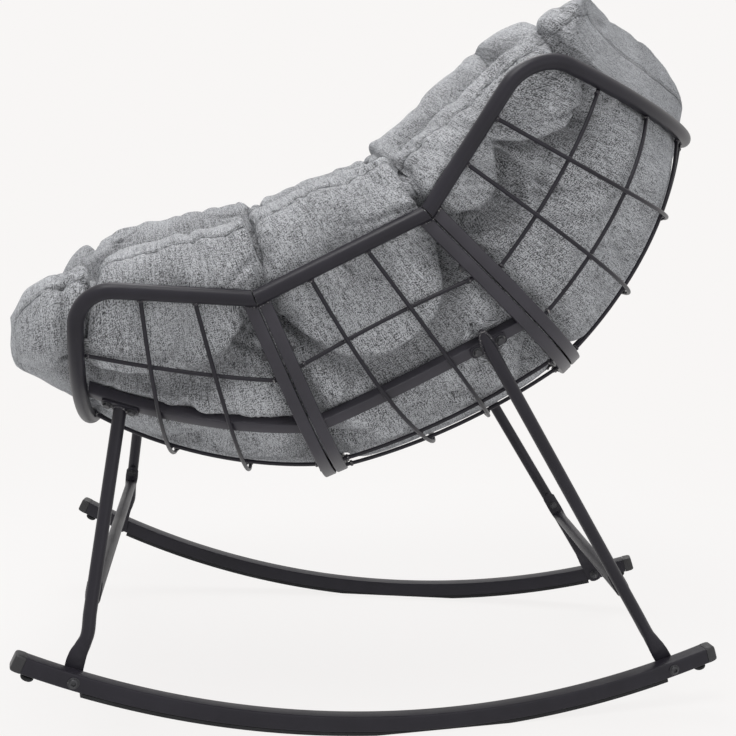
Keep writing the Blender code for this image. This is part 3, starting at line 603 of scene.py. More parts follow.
def weld_look():
    """Weld beads under the coat: the coat's colour with coarser skin, and bright metallic patches painted on
    for the glints the beads catch, a painted highlight.
    """
    f = Finish("weld_look")
    c = colours().steel
    where = f.coords()
    lumps, fine = f.noise(where, 420.0, 3.0, 0.6), f.noise(where, 1700.0, 2.0, 0.5)
    # painted highlight: bright metallic patches where the lumps' noise is high stand for the beads' glints
    bright = (lumps.ramp(0.55, 0.64) * 0.9).clamp()
    base = f.mix(bright, shaded(c, 1.2), (0.42, 0.41, 0.40))
    return f.set(Base_Color=base, Metallic=bright * 0.7, Roughness=(0.34 + fine * 0.2).clamp(),
                 Normal=f.bump(lumps + fine * 0.4, 0.0004, 0.7))


def cloth_look():
    """Heather cloth on the pad's own UV map in metres: a plain weave of light and dark yarns, slubs and fuzz.

    Warp and weft are waves across u and v a half cell apart; each yarn's shade is noise stretched along it.
    The attribute seam carries the distance to the sewn lines and the other attribute the depth of the folds;
    both darken the cloth as painted shade, along the seams and in the folds.
    """
    f = Finish("cloth_look")
    col = colours()
    pitch = 0.00115
    uv = f.node("TexCoord", out="UV")
    u, v = f.node("SeparateXYZ", Vector=uv, out="X"), f.node("SeparateXYZ", Vector=uv, out="Y")
    k = math.pi / pitch
    over = ((u * k).sin() * (v * k).sin()).ramp(-0.25, 0.25)
    warp = f.noise(f.coords((1.0 / 0.0012, 1.0 / 0.0060, 1), uv=True), 1.0, 2.0, 0.6)
    weft = f.noise(f.coords((1.0 / 0.0075, 1.0 / 0.0013, 1), uv=True), 1.0, 2.0, 0.6)
    fleck = f.noise(f.coords((1.0 / 0.0016, 1.0 / 0.0010, 1), uv=True), 1.0, 2.0, 0.75)
    slub = f.noise(f.coords((1.0 / 0.030, 1.0 / 0.004, 1), uv=True), 1.0, 3.0, 0.6)
    cloud = f.noise(f.coords((14, 14, 14)), 1.0, 3.0, 0.5)
    shade = over * warp + (1.0 - over) * weft
    shade = shade * 0.55 + fleck * 0.65 + (slub - 0.5) * 0.16 + (cloud - 0.5) * 0.10
    light = shade.ramp(0.49, 0.70)
    seam = f.node("Attribute", {"attribute_name": "seam"}, out="Fac")
    crease = f.node("Attribute", {"attribute_name": "crease"}, out="Fac")
    line = 1.0 - seam.ramp(0.0006, 0.0017)
    base = f.mix(light, col.yarn_dark, col.yarn_light)
    # painted shade: the cloth darkened towards the dark yarn by the depth of each fold
    base = f.mix((crease * 0.35).clamp(), base, col.yarn_dark)
    # painted shade along the sewn seams
    base = f.mix(line * 0.80, base, col.thread)
    yarn = ((u * k).sin() * (v * k).sin()).abs()
    height = yarn * 0.35 + shade * 0.65
    fine = f.bump(height, 0.0007, 0.75)
    groove = seam.ramp(0.0, 0.0060)
    deep = f.bump(groove, 0.0030, 0.9, normal=fine)
    return f.set(Base_Color=base, Roughness=(0.86 + light * 0.10).clamp(), Normal=deep,
                 Specular_IOR_Level=0.18, Sheen_Weight=0.22, Sheen_Roughness=0.45,
                 Sheen_Tint=(0.90, 0.92, 0.96))


LOOKS = {"powder_coat": powder_coat, "bar_coat": bar_coat, "rubber": rubber_look,
         "black_plastic": plastic_look, "bolt_steel": bolt_look, "grey_fabric": cloth_look, "weld": weld_look}


def look(name):
    """The material of a finish, made at its first use."""
    key = LOOKS[name].__name__ + "_made"
    made = bpy.data.materials.get(key)
    if made is None:
        made = LOOKS[name]()
        made.name = key
    return made


# paths shared by several pieces

def end_rail_half(v_end, v_joint, corner):
    """Left half of an end tube: straight along the rim, a cubic bend round the corner, then the outline."""
    row = station(v_end)
    joint = place(station(v_joint), station(v_joint)[3], 0.0)
    vert = place(row, row[3], 0.0)
    curve = place(row, *outline(row, np.linspace(0, math.pi / 2, 600)))
    first = int(np.searchsorted(length_along(curve), corner))
    a, b, c = vert + unit(joint - vert) * corner, vert, curve[first]
    p1, p2 = a + (b - a) * 0.55, c + (b - c) * 0.55
    u = np.linspace(0, 1, 60)[:, None]
    bend = (1 - u) ** 3 * a + 3 * u * (1 - u) ** 2 * p1 + 3 * u * u * (1 - u) * p2 + u ** 3 * c
    return np.concatenate([np.linspace(joint, a, 30)[:-1], bend, curve[first + 1:]])


def whole(half, step):
    """A half path and its mirror image as one path at even steps, without a kink at the middle."""
    half = np.concatenate([half[:-1], [half[-1] * (0, 1, 1)]])
    path = resample(np.concatenate([half, (half[:-1] * (-1, 1, 1))[::-1]]), step)
    return (path + (path * (-1, 1, 1))[::-1]) / 2


def rib(v, sign):
    """Path, outward directions and end cut of a joint bar."""
    s = sizes()
    row, n = station(v), plane(v)[1]
    th = np.linspace(0.03, math.pi - 0.03, 400)
    outs = outward(np.full(400, float(v)), th)
    outs = unit(outs - n * (outs @ n)[:, None])
    path = place(row, *outline(row, th)) - outs * (s.bar_depth / 2 - BAR_PROUD)
    path = path + n * sign * (s.joint_gap + s.bar_width / 2)
    k = np.linspace(0, 399, 150).astype(int)
    down = rim_down({(1, -1): 0, (1, 1): 1, (2, -1): 1, (2, 1): 2}[(v, sign)])
    cut = (place(row, row[3], 0.0) + down * (s.tube + 0.0002), down)
    return path[k], outs[k], cut


def section_cuts(i):
    """Planes at which pieces that run along a section of the basket end."""
    s = sizes()
    bar = s.joint_gap + s.bar_width
    (p, n), (q, m) = plane(i), plane(i + 1)
    return (p + n * (END_INSET if i == 0 else bar), n), (q - m * (END_INSET if i == 2 else bar), m)


def runner(i, ends, inset, profile, steps=60):
    """A wire or rail along section i between two angles, its ends slid onto the section's cuts."""
    u = np.linspace(0, 1, steps)
    v, th = i + u, ends[0] + (ends[1] - ends[0]) * u
    if i == 2:
        th = even_share(v, ends)
    path = on_basket(v, th) - outward(v, th) * inset
    cuts = section_cuts(i)
    keep = ((path - cuts[0][0]) @ cuts[0][1] > 0.002) & ((path - cuts[1][0]) @ cuts[1][1] < -0.002)
    path, outs = path[keep], outward(v, th)[keep]
    head = path[0] - unit(path[1] - path[0]) * 0.002
    tail = path[-1] + unit(path[-1] - path[-2]) * 0.002
    path = np.concatenate([[head], path, [tail]])
    outs = np.concatenate([[outs[0]], outs, [outs[-1]]])
    return sweep(path, profile, outs, cuts), path


def even_share(v, ends):
    """Angles that keep a line's depth, as a share of the section's, even: it then looks straight."""
    row = station(v)
    a, b = (math.sin(e) ** (2 / n) for e, n in zip(ends, (row[0, 5], row[-1, 5])))
    th = np.arcsin(np.clip(a + (b - a) * (v - v[0]), 0, 1) ** (row[:, 5] / 2))
    return th if ends[0] < math.pi / 2 else math.pi - th


def cross_path(v0, v1):
    """A wire from rim to rim: v runs from v0 at the rims to v1 below with the square of the sine."""
    s = sizes()
    th = np.linspace(0.0, math.pi / 2, 700)
    half = on_basket(v0 + (v1 - v0) * np.sin(th) ** 2, th)
    top, down = s.tube - 0.001, rim_down(int(v0))
    k = int(np.searchsorted((half - half[0]) @ down, top + 0.003))
    start = half[0] + unit(half[k] - half[0]) * top / (unit(half[k] - half[0]) @ down)
    return whole(np.concatenate([[start], half[k:]]), 0.006), (start * (0, 1, 1), down)


def end_beads(path, lift, wide, long, seed):
    """A weld bead at either end of a wire, a little way up it."""
    return [bead(path[end] + unit(path[nxt] - path[end]) * lift, path[nxt] - path[end], wide, long, seed + k)
            for k, (end, nxt) in enumerate(((0, 1), (-1, -2)))]


# angles of each section's long wires at its two ends, from a share of the depth or of the half width
GRID_LINES = {
    0: ((theta_at, 0.41, 0.39), (theta_at, 0.90, 0.88), (theta_x, 0.16, 0.20)),
    1: ((theta_at, 0.35, 0.33), (theta_at, 0.87, 0.85), (theta_x, 0.56, 0.56), (theta_x, 0.20, 0.20)),
    2: ((theta_at, 0.36, 0.35), (theta_at, 0.64, 0.64), (theta_at, 0.90, 0.91), (theta_x, 0.22, 0.09)),
}


def grid_parts(i):
    """The wires of one section and the beads where they are welded to each other, the rims and the bars."""
    s = sizes()
    wires, beads, seed = [], [], 1.0 + 7 * i
    crossings = [cross_path(a, b) for a, b in CROSS_WIRES if i < a < i + 1]
    for path, cut in crossings:
        ups = unit(path - path.mean(0))
        wires.append(sweep(path, circle(s.wire, 12), ups, (cut, cut)))
        beads += end_beads(path, 0.0012, 0.0041, 0.0028, seed)
        seed += 2.0
    for fn, a, b in GRID_LINES[i]:
        for side in (0, 1):
            ends = (fn(i, a), fn(i + 1, b))
            ends = ends if side == 0 else tuple(math.pi - e for e in ends)
            solid, path = runner(i, ends, WIRE_INSET, circle(s.wire, 12))
            wires.append(solid)
            beads += end_beads(path, 0.0014, 0.0039, 0.0026, seed)
            seed += 2.0
            for other, _ in crossings:
                fine, there = resample(path, 0.002), resample(other, 0.002)
                d = np.linalg.norm(fine[:, None] - there[None], axis=2)
                p, q = np.unravel_index(int(np.argmin(d)), d.shape)
                if d[p, q] < WIRES_MEET:
                    way = fine[min(p + 1, len(fine) - 1)] - fine[max(p - 1, 0)]
                    beads.append(bead((fine[p] + there[q]) / 2, way, 0.0031, 0.0040, seed))
                    seed += 1.0
    return merged(wires), merged(beads)


def rocker_point(arc, radius, across):
    """A point of the left rocker: arc in degrees from the floor contact, across inward from outside."""
    s = sizes()
    a, tau = np.radians(arc), math.radians(s.toe)
    y, z = radius * np.sin(a), contact_height() - radius * np.cos(a)
    return np.stack([s.rocker_half - y * math.sin(tau) - across * math.cos(tau),
                     y * math.cos(tau) - across * math.sin(tau), z], -1)


def rocker_dirs(arc):
    """Along the bar to the rear, up off it and inward, at an arc angle."""
    a, tau = np.radians(np.asarray(arc, float)), math.radians(sizes().toe)
    along = np.stack([-np.cos(a) * math.sin(tau), np.cos(a) * math.cos(tau), np.sin(a)], -1)
    up = np.stack([np.sin(a) * math.sin(tau), -np.sin(a) * math.cos(tau), np.cos(a)], -1)
    return along, up, np.array([-math.cos(tau), -math.sin(tau), 0.0])


def arc_bar(arcs, radius, profile, across):
    """A profile swept along a rocker's arc, its ends cut square."""
    path, (along, ups, _) = rocker_point(arcs, radius, across), rocker_dirs(arcs)
    return sweep(path, profile, ups, ((path[0], along[0]), (path[-1], along[-1])))


# a leg: its foot's arc angle, its place v and section i on the basket, the rail's depth shares at the
# section's ends, how far the foot leans forward, the crossbar's height and how far its tab turns up
LegSpot = namedtuple("LegSpot", "arc v i shares lean bar_z tab_up")
LEG_SPOTS = {"front": LegSpot(-23.57, 0.175, 0, (0.69, 0.64), 0.0075, 0.209, 0.010),
             "rear": LegSpot(14.01, 1.790, 1, (0.64, 0.61), 0.0, 0.159, 0.020)}


def rail_ends(spot):
    """The outline's angles at which a leg rail starts and ends."""
    return theta_at(spot.i, spot.shares[0]), theta_at(spot.i + 1, spot.shares[1])


def leg_frame(end):
    """Where a leg meets its rail: middle of the rail there, its direction and its outward side."""
    s, spot = sizes(), LEG_SPOTS[end]
    ends = rail_ends(spot)
    th = ends[0] + (ends[1] - ends[0]) * (spot.v - spot.i)
    solid, path = runner(spot.i, ends, RAIL_INSET + s.rail / 2, box(s.rail, s.rail, BAR_ROUND))
    here = on_basket(spot.v, th)
    k = int(np.argmin(np.linalg.norm(path - here, axis=1)))
    d = unit(path[min(k + 4, len(path) - 1)] - path[max(k - 4, 0)])
    mid = path[k] + d * ((here - path[k]) @ d)
    up = outward(spot.v, th)
    return solid, mid, d, unit(up - d * (up @ d))


def leg_parts(end):
    """A leg: foot pressed flat on the rocker, round tube, plate under the leg rail and a bead between."""
    s, spot = sizes(), LEG_SPOTS[end]
    lean = spot.lean
    rail, mid, along, out = leg_frame(end)
    foot = rocker_point(spot.arc, s.rocker_radius - 0.0095, s.rocker + CLEAR + 0.0025)
    forward, _, inward = rocker_dirs(spot.arc)      # the foot lies on the rocker's inner face, half up it
    face = mid + out * (s.rail / 2 + CLEAR)
    down = np.cross(along, out)
    down = down if down[2] < 0 else -down
    top = face + out * PLATE + down * 0.006
    flat = unit(unit(top - foot) - inward * (unit(top - foot) @ inward))
    b = foot + flat * 0.0180
    d = foot + flat * 0.046 + inward * 0.0062 + forward * lean
    knots = np.array([foot - flat * 0.0105, foot - flat * 0.0085, foot - flat * 0.004, b,
                      b + flat * 0.008 + inward * 0.0008 + forward * lean * 0.15,
                      b + flat * 0.018 + inward * 0.0036 + forward * lean * 0.6, d,
                      d + unit(top - d) * 0.03, d + (top - d) * 0.6, top - unit(top - d) * 0.003])
    wide = np.array([0.0052, 0.0092, 0.0112, 0.0112, 0.0106, 0.0092] + 4 * [s.leg])
    deep = np.array([0.0023, 0.0025, 0.0025, 0.0025, 0.0034, 0.0058] + 4 * [s.leg])
    path, size = smooth_through(knots, np.stack([wide, deep], 1), 0.004)
    tube = sweep(path, oval(size, 28), inward, (None, (top - out * 0.001, out)))
    plate = pressed_plate(face + out * (PLATE / 2 + 0.0001), along, down, out, 0.046, 0.0165, PLATE)
    a = 2 * np.pi * np.arange(40) / 40
    axis = unit(top - d)
    e1 = unit(np.cross(axis, along))
    e2 = np.cross(axis, e1)
    loop = top + (s.leg + 0.0004) * (np.cos(a)[:, None] * e1 + np.sin(a)[:, None] * e2)
    loop = loop + axis * (((top + out * 0.0003 - loop) @ out) / (axis @ out))[:, None]
    at = dict(foot=foot, inward=inward, face=face, along=along, out=out, low=d, top=top, rail=rail)
    return merged([tube, plate]), ring(loop, 0.0015, spot.v), at


def smooth_through(knots, sizes_at, step):
    """A cubic through the knots, each tangent the mean of its neighbours' slopes, with sizes eased."""
    s = length_along(knots)
    q = np.linspace(0, s[-1], int(s[-1] / step) + 1)
    q = np.unique(np.concatenate([q, s[:7] if len(s) > 7 else s]))
    m = np.gradient(knots, s, axis=0)
    k = np.clip(np.searchsorted(s, q, side="right") - 1, 0, len(s) - 2)
    h = (s[k + 1] - s[k])[:, None]
    t = ((q - s[k]) / (s[k + 1] - s[k]))[:, None]
    path = ((2 * t ** 3 - 3 * t ** 2 + 1) * knots[k] + (t ** 3 - 2 * t ** 2 + t) * h * m[k] +
            (-2 * t ** 3 + 3 * t ** 2) * knots[k + 1] + (t ** 3 - t ** 2) * h * m[k + 1])
    eased = t * t * (3 - 2 * t)
    return path, sizes_at[k] * (1 - eased) + sizes_at[k + 1] * eased


def oval(size, n):
    """Ellipses of n points, one for each pair of half widths."""
    a = 2 * np.pi * (np.arange(n) + 0.5) / n
    return np.stack([size[:, :1] * np.cos(a), size[:, 1:] * np.sin(a)], -1)


def pressed_plate(middle, along, down, out, long, wide, thick):
    """A plate with round corners: four loops, the first and last smaller by the eased edge."""
    ease, half = 0.0004, thick / 2
    outer = box(long, wide, 0.0042, 8)
    inner = box(long - 2 * ease, wide - 2 * ease, 0.0038, 8)
    rings = [middle + loop[:, :1] * along + loop[:, 1:] * down + h * out
             for loop, h in ((inner, -half), (outer, ease - half), (outer, half - ease), (inner, half))]
    return np.concatenate(rings), tube_faces(4, len(outer))


def crossbar_parts(end, spots):
    """A bar between two legs: its flattened tabs turn up along their inner sides."""
    s, (bar_z, tab_up) = sizes(), LEG_SPOTS[end][-2:]
    up = unit(spots["top"] - spots["low"])
    mid = spots["low"] + up * ((bar_z - spots["low"][2]) / up[2])
    across = unit(np.array([1.0, 0, 0]) - up * up[0])
    centre = mid - across * (s.leg + CLEAR + 0.0020)
    x, low, bend = np.array([1.0, 0, 0]), centre - up * 0.021, 0.013
    u = np.linspace(0, 1, 6)[1:, None]
    p0 = centre - up * 0.012
    arc = (1 - u) ** 2 * p0 + 2 * u * (1 - u) * low + u * u * (low - x * bend)
    tip = centre + up * tab_up
    knots = np.concatenate([[tip, tip - up * 0.002, tip - up * 0.006, centre - up * 0.008, p0], arc,
                            [low - x * (bend + 0.012)]])
    wide = np.array([0.0042, 0.0068, 0.0092, 0.0096, 0.0094, 0.0092, 0.0088, 0.0084, 0.0081] + 2 * [s.leg])
    deep = np.array([0.0018, 0.0020, 0.0020, 0.0020, 0.0024, 0.0036, 0.0050, 0.0064, 0.0075] + 2 * [s.leg])
    knots = knots - x * (deep - deep[1])[:, None]
    path, size = smooth_through(knots, np.stack([wide, deep], 1), 0.003)
    middle = np.linspace(path[-1], path[-1] * (0, 1, 1), 16)[1:]
    half = np.concatenate([path, middle])
    sized = np.concatenate([size, np.full((15, 2), s.leg)])
    full = np.concatenate([half, (half[:-1] * (-1, 1, 1))[::-1]])
    both = np.concatenate([sized, sized[:-1][::-1]])
    side = unit(np.cross(x, up))
    return sweep(full, oval(both, 28), np.cross(tangents(full), side)), centre, across


WASHER_TOP = -0.0012            # a head sits here, outwards being negative along a bolt's axis


def washer(at, axis, r):
    """A washer under a head, its outer edge eased."""
    return lathe(at, axis, [(-0.0001, 0.0030), (-0.0002, r), (-0.0009, r), (WASHER_TOP, r - 0.0004),
                            (WASHER_TOP - 0.0001, 0.0030)])


def far_end(at, axis, z, disc, nut, thread):
    """From the far face at z on: a washer, a hexagon nut and the thread's end, each given as rows."""
    return [lathe(at + axis * z, axis, rows, hexed=hexed)
            for rows, hexed in ((disc, ()), (nut, (0, 1)), (thread, ()))]


def hex_bolt(at, axis, head=0.0030, across=0.0050, disc=0.0062, shank=0.0):
    """Washer, hexagon head with a chamfered crown and, for a shank, the thread end and nut behind."""
    z = WASHER_TOP
    parts = [washer(at, axis, disc),
             lathe(at, axis, [(z, across), (z - head * 0.72, across), (z - head, across * 0.86),
                              (z - head, across * 0.5), (z - head * 0.94, across * 0.1)], hexed=(0, 1))]
    if shank:
        parts += far_end(at, axis, shank, [(0, 0.0030), (0, 0.0060), (0.0008, 0.0060), (0.0008, 0.0030)],
                         [(0.0008, 0.0046), (0.0034, 0.0046), (0.0040, 0.0040), (0.0040, 0.0026)],
                         [(0, 0.0028), (0.0052, 0.0028), (0.0058, 0.0022), (0.0058, 0.0005)])
    return merged(parts)


def socket_bolt(at, axis, shank):
    """Round button head with a hexagon socket, on a washer; nut and thread end on the far side."""
    r = 0.0056
    crown = [(-0.0013 - 0.0030 * math.cos(a), r * math.sin(a)) for a in np.linspace(math.pi / 2, 0.62, 7)]
    head = [(WASHER_TOP, r)] + crown + [(-0.0036, 0.0026), (-0.0020, 0.0025), (-0.0019, 0.0004)]
    parts = [washer(at, axis, 0.0070), lathe(at, axis, head, hexed=(9, 10))]
    parts += far_end(at, axis, shank, [(0, 0.0030), (0, 0.0064), (0.0009, 0.0064), (0.0009, 0.0030)],
                     [(0.0009, 0.0052), (0.0042, 0.0052), (0.0049, 0.0045), (0.0049, 0.0028)],
                     [(0, 0.0030), (0.0062, 0.0030), (0.0069, 0.0024), (0.0069, 0.0006)])
    return merged(parts)


# the pad

PAD_V = (-0.41, 3.47, 3.19)      # its front end, and its top end beside the rims and in the middle
PAD_BEND = 2.3                   # v from which the columns draw in towards that top end
PAD_END = 0.052                  # width of its rounded edge
CHANNELS = (-0.04, 1.02, 1.98, 2.98)   # sewn rows that run over the side lips
ROWS = (0.49, 1.50, 2.48)        # rows of tufts between them
COLUMNS = (0.16, 0.52, 0.86)     # tufts' columns, as shares of the way from the edge to the middle line
PAD_ROUND = 2.1                  # squareness of the rounded edge
LOBES = ((-0.04, 1.02, 0.150), (1.04, 1.97, 0.205), (1.99, 2.50, 0.120), (2.51, 3.02, 0.105))   # ends, reach
ROW_M = 0.215                    # metres along the pad for each unit of v
HALF_M = 0.43                    # metres across it from the edge to the middle line
TUFT = 0.030                     # a tuft's width
HELD = 0.0085                    # the cloth is held this near a tuft's middle
BLOW_FRAMES = 20                 # frames for which it is blown up
SEAM_AT = 0.034                  # the edge seam's distance from the lip
FOLDS_FROM, FOLDS_TO = -0.06, 0.70   # where along the pad, in metres, folds cross its edge
CHANNEL_FOLDS, LOBE_FOLDS = 10, 6    # folds that run out of each channel, and across each lobe's underside
END_CURVE = (0.31, 0.26)         # how much of v the rounded front and top ends take up


def soft_station(v):
    """The basket's section with its corners at the joints smoothed, carried on past both ends."""
    v = np.asarray(v, float)
    inner = np.clip(v, 0, 3)
    reach = np.minimum(1.0, np.minimum(inner, 3 - inner))
    total = np.zeros(v.shape + (6,))
    for k, w in ((-0.2, 1), (-0.1, 2), (0.0, 3), (0.1, 2), (0.2, 1)):
        q = np.clip(inner + k * reach, 0, 3)
        i = np.clip(np.floor(q).astype(int), 0, 2)
        t = (q - i)[..., None]
        total += w * (STATIONS[i] * (1 - t) + STATIONS[i + 1] * t)
    rows = total / 9.0
    for past, i, j, turn in ((v < 0, 0, 1, 3.0), (v > 3, 2, 3, 5.0)):
        q = (v - i)[..., None]
        line = STATIONS[i] * (1 - q) + STATIONS[j] * q
        line[..., 2:] = STATIONS[0 if i == 0 else 3][2:]
        line[..., 2] += turn * (v if i == 0 else v - 3)
        rows = np.where(past[..., None], line, rows)
    return rows


def pad_table(edge_cols, share_cols):
    """For many v: the pad's middle layer at each column as x and depth, with the outward normal."""
    s = sizes()
    vt = np.linspace(PAD_V[0] - 0.02, PAD_V[1] + 0.02, 260)
    rows = soft_station(vt)
    th = np.linspace(0, math.pi / 2, 260)
    table = np.zeros((len(vt), len(edge_cols) + len(share_cols), 4))
    for k, v in enumerate(vt):
        inset = s.pad_inset + s.pad / 2
        x, d = outline(rows[k], th, inset)
        rise = float(np.interp(v, LIP[:, 0], LIP[:, 1]))
        if rise > 0:
            x, d = np.concatenate([[x[0]], x]), np.concatenate([[-rise], d])
        line = length_along(np.stack([x, d], 1))
        s0 = max(0.0, -rise)
        q = np.concatenate([s0 + edge_cols, s0 + PAD_END + (line[-1] - s0 - PAD_END) * share_cols])
        p = [np.stack([np.interp(q + e, line, x), np.interp(q + e, line, d)], 1) for e in (-0.008, 0, 0.008)]
        t = unit(p[2] - p[0])
        table[k] = np.concatenate([p[1], t[:, 1:], -t[:, :1]], 1)
    return vt, table


def pad_grid():
    """The pad as one closed grid: outer and inner faces a half thickness to either side of its middle layer.

    The half thickness falls to nothing at the edges as a quarter of a superellipse. Channels, rows, columns
    and tufts draw it in: 1 less a share of a bell of the distance from each. Where it draws in, the lip dips;
    the right lip also slumps. Every point keeps its arc lengths from the lip, from the ends, along and
    across, so that seams and folds can be laid on it later.
    """
    s = sizes()
    turn = np.radians(np.linspace(0, 90, 9))[:-1]
    edge_cols = PAD_END * (1 - np.cos(turn))
    share_cols = np.linspace(0, 1, int(HALF_M / s.pad_cell) + 1)
    vt, table = pad_table(edge_cols, share_cols)
    low, high = END_CURVE
    body = np.linspace(PAD_V[0] + low, PAD_V[1] - high, int(2 * HALF_M / s.pad_cell))
    v = np.concatenate([PAD_V[0] + low * (1 - np.cos(turn)), body,
                        (PAD_V[1] - high * (1 - np.cos(turn)))[::-1]])
    rise = (1 - np.cos(turn) ** PAD_ROUND) ** (1 / PAD_ROUND)
    ends = np.concatenate([rise, np.ones(len(body)), rise[::-1]])
    edge = np.concatenate([rise, np.ones(len(share_cols))])
    share = np.concatenate([np.zeros(len(turn)), share_cols])
    last = PAD_V[1] + (PAD_V[2] - PAD_V[1]) * np.clip((7 * share - 1) / 6, 0, 1) ** 2.2
    over = (v[:, None] - PAD_BEND) * (last[None] - PAD_BEND) / (PAD_V[1] - PAD_BEND)
    w = np.where(v[:, None] < PAD_BEND, v[:, None], PAD_BEND + over)
    p = np.stack([[np.interp(w[:, j], vt, table[:, j, k]) for k in range(4)] for j in range(len(share))], 0)
    p = p.transpose(2, 0, 1)
    rows = soft_station(w)
    across = np.concatenate([edge_cols, PAD_END + share_cols * HALF_M])
    near_lip = 1 - smooth(0.0, 0.13, across)[None]
    off = np.stack([(v[:, None] - c) * ROW_M - channel_lean(across)[None] for c in CHANNELS])
    dips = np.array([0.020, 0.012, 0.012, 0.005])[:, None, None]
    p[..., 1] += (dips * bell(off, 0.012)).sum(0) * near_lip
    half = s.pad / 2 * edge[None] * ends[:, None]
    channel = bell(off, 0.016).max(0)
    soft_row = np.max([bell((v - c) * ROW_M, 0.022) for c in ROWS], 0)[:, None]
    column = np.max([bell((share - c) * HALF_M, 0.022) * (share > 0) for c in COLUMNS], 0)[None]
    tuft, pins = np.zeros_like(half), np.zeros_like(half)
    for c in CHANNELS + ROWS:
        for q in COLUMNS:
            away = np.hypot((v[:, None] - c) * ROW_M, (share[None] - q) * HALF_M) + (share[None] <= 0) * 1.0
            tuft = np.maximum(tuft, bell(away, TUFT))
            pins = np.maximum(pins, (away < HELD) * 1.0)
    draw_in = 1 - 0.30 * channel - 0.20 * soft_row * (share[None] > 0.02) - 0.22 * column
    draw_in = draw_in * (1 - 0.50 * tuft)
    draw_out = 1 - 0.26 * channel * smooth(0.16, 0.02, across)[None] - 0.10 * channel - 0.26 * tuft
    i = np.clip(np.floor(w).astype(int), 0, 2)
    sag = BULGE[i, 4] * 4 * np.maximum(0, (w - i) * (1 - w + i)) * ends[:, None]
    push = half * draw_out
    x, d = p[..., 0] + p[..., 2] * push, p[..., 1] + p[..., 3] * push
    out = (0.010 + 0.014 * smooth(2.1, 2.8, w)) * ends[:, None]
    outer = place(rows, x, d + (sag + out) * np.clip(d / 0.2, 0, 1) ** 2)
    inner = place(rows, p[..., 0] - p[..., 2] * half * draw_in, p[..., 1] - p[..., 3] * half * draw_in)
    turned = np.radians(rows[..., 2])
    lower = np.interp(w, FAR_DROP[:, 0], FAR_DROP[:, 1]) * (1 - smooth(0, 0.17, across))[None]
    far_off = (v[:, None] - FAR_PINCHES[0]) * ROW_M - channel_lean(across)[None]
    lower += (0.014 * bell(far_off, 0.012) - 0.020 * bell(off[0], 0.012)) * near_lip
    lower = lower[..., None] * np.stack([0 * turned, np.sin(turned), -np.cos(turned)], -1)
    lengthwise = np.stack([v * ROW_M, ends * s.pad / 2], 1)
    arc, back_arc = length_along(lengthwise), length_along(lengthwise[::-1])[::-1]
    from_lip = length_along(np.stack([across, edge * s.pad / 2], 1))
    fields = {"lip": across[None], "along": v[:, None] * ROW_M, "row": v[:, None], "pins": pins,
              "share": share[None], "from_lip": from_lip[None], "arc": arc[:, None],
              "from_end": np.minimum(arc, back_arc)[:, None]}
    fields = {k: full_width((f + 0 * half)[..., None])[..., 0] for k, f in fields.items()}
    return full_width(outer, outer + lower), full_width(inner, inner + lower), fields


def channel_lean(across):
    """How far a channel leans to the rear as it climbs over the lip, in metres."""
    return 0.006 + 0.020 * smooth(0.12, 0.0, np.abs(across))


def full_width(a, far=None):
    """Columns from the left lip to the middle, joined with the mirror image of themselves or of far ones."""
    if far is not None:
        a = a.copy()
        a[:, -1] *= (0, 1, 1)
        return np.concatenate([a, (far[:, :-1] * (-1, 1, 1))[:, ::-1]], 1)
    return np.concatenate([a, a[:, :-1][:, ::-1]], 1)


def pad_mesh(name):
    """The pad's grid as a closed mesh whose two faces share their rim, with its fields as attributes."""
    outer, inner, fields = pad_grid()
    n, m = outer.shape[:2]
    ids = np.arange(n * m).reshape(n, m)
    inside = np.zeros((n, m), int) - 1
    inside[1:-1, 1:-1] = n * m + np.arange((n - 2) * (m - 2)).reshape(n - 2, m - 2)
    rim = inside < 0
    inside[rim] = ids[rim]
    verts = np.concatenate([outer.reshape(-1, 3), inner[1:-1, 1:-1].reshape(-1, 3)])
    quads = []
    for grid, flip in ((ids, False), (inside, True)):
        q = np.stack([grid[:-1, :-1], grid[:-1, 1:], grid[1:, 1:], grid[1:, :-1]], -1).reshape(-1, 4)
        quads.append(q[:, ::-1] if flip else q)
    mesh = bpy.data.meshes.new(name)
    mesh.from_pydata([tuple(p) for p in settled(verts).tolist()], [], np.concatenate(quads).tolist())
    mesh.update()
    both = {k: np.concatenate([f.ravel(), f[1:-1, 1:-1].ravel()]) for k, f in fields.items()}
    both["outer"] = np.concatenate([np.where(rim, 0.5, 1.0).ravel(), np.zeros((n - 2) * (m - 2))])
    columns = np.linspace(-1, 1, m)[None] + np.zeros((n, 1))
    both["side"] = np.concatenate([columns.ravel(), columns[1:-1, 1:-1].ravel()])
    for k, f in both.items():
        mesh.attributes.new("pad_" + k, "FLOAT", "POINT").data.foreach_set("value", f.astype(np.float32))
    ob = linked(name, mesh)
    outward_faces(ob)
    return ob, both


def read(mesh, name):
    """One value per point from an attribute."""
    out = np.zeros(len(mesh.vertices), np.float32)
    mesh.attributes[name].data.foreach_get("value", out)
    return out.astype(float)


def points(mesh):
    """The places of all points as rows."""
    co = np.zeros(len(mesh.vertices) * 3)
    mesh.vertices.foreach_get("co", co)
    return co.reshape(-1, 3)


def normals(mesh):
    """The smooth normals of all points as rows."""
    no = np.zeros(len(mesh.vertices) * 3)
    mesh.vertex_normals.foreach_get("vector", no)
    return no.reshape(-1, 3)


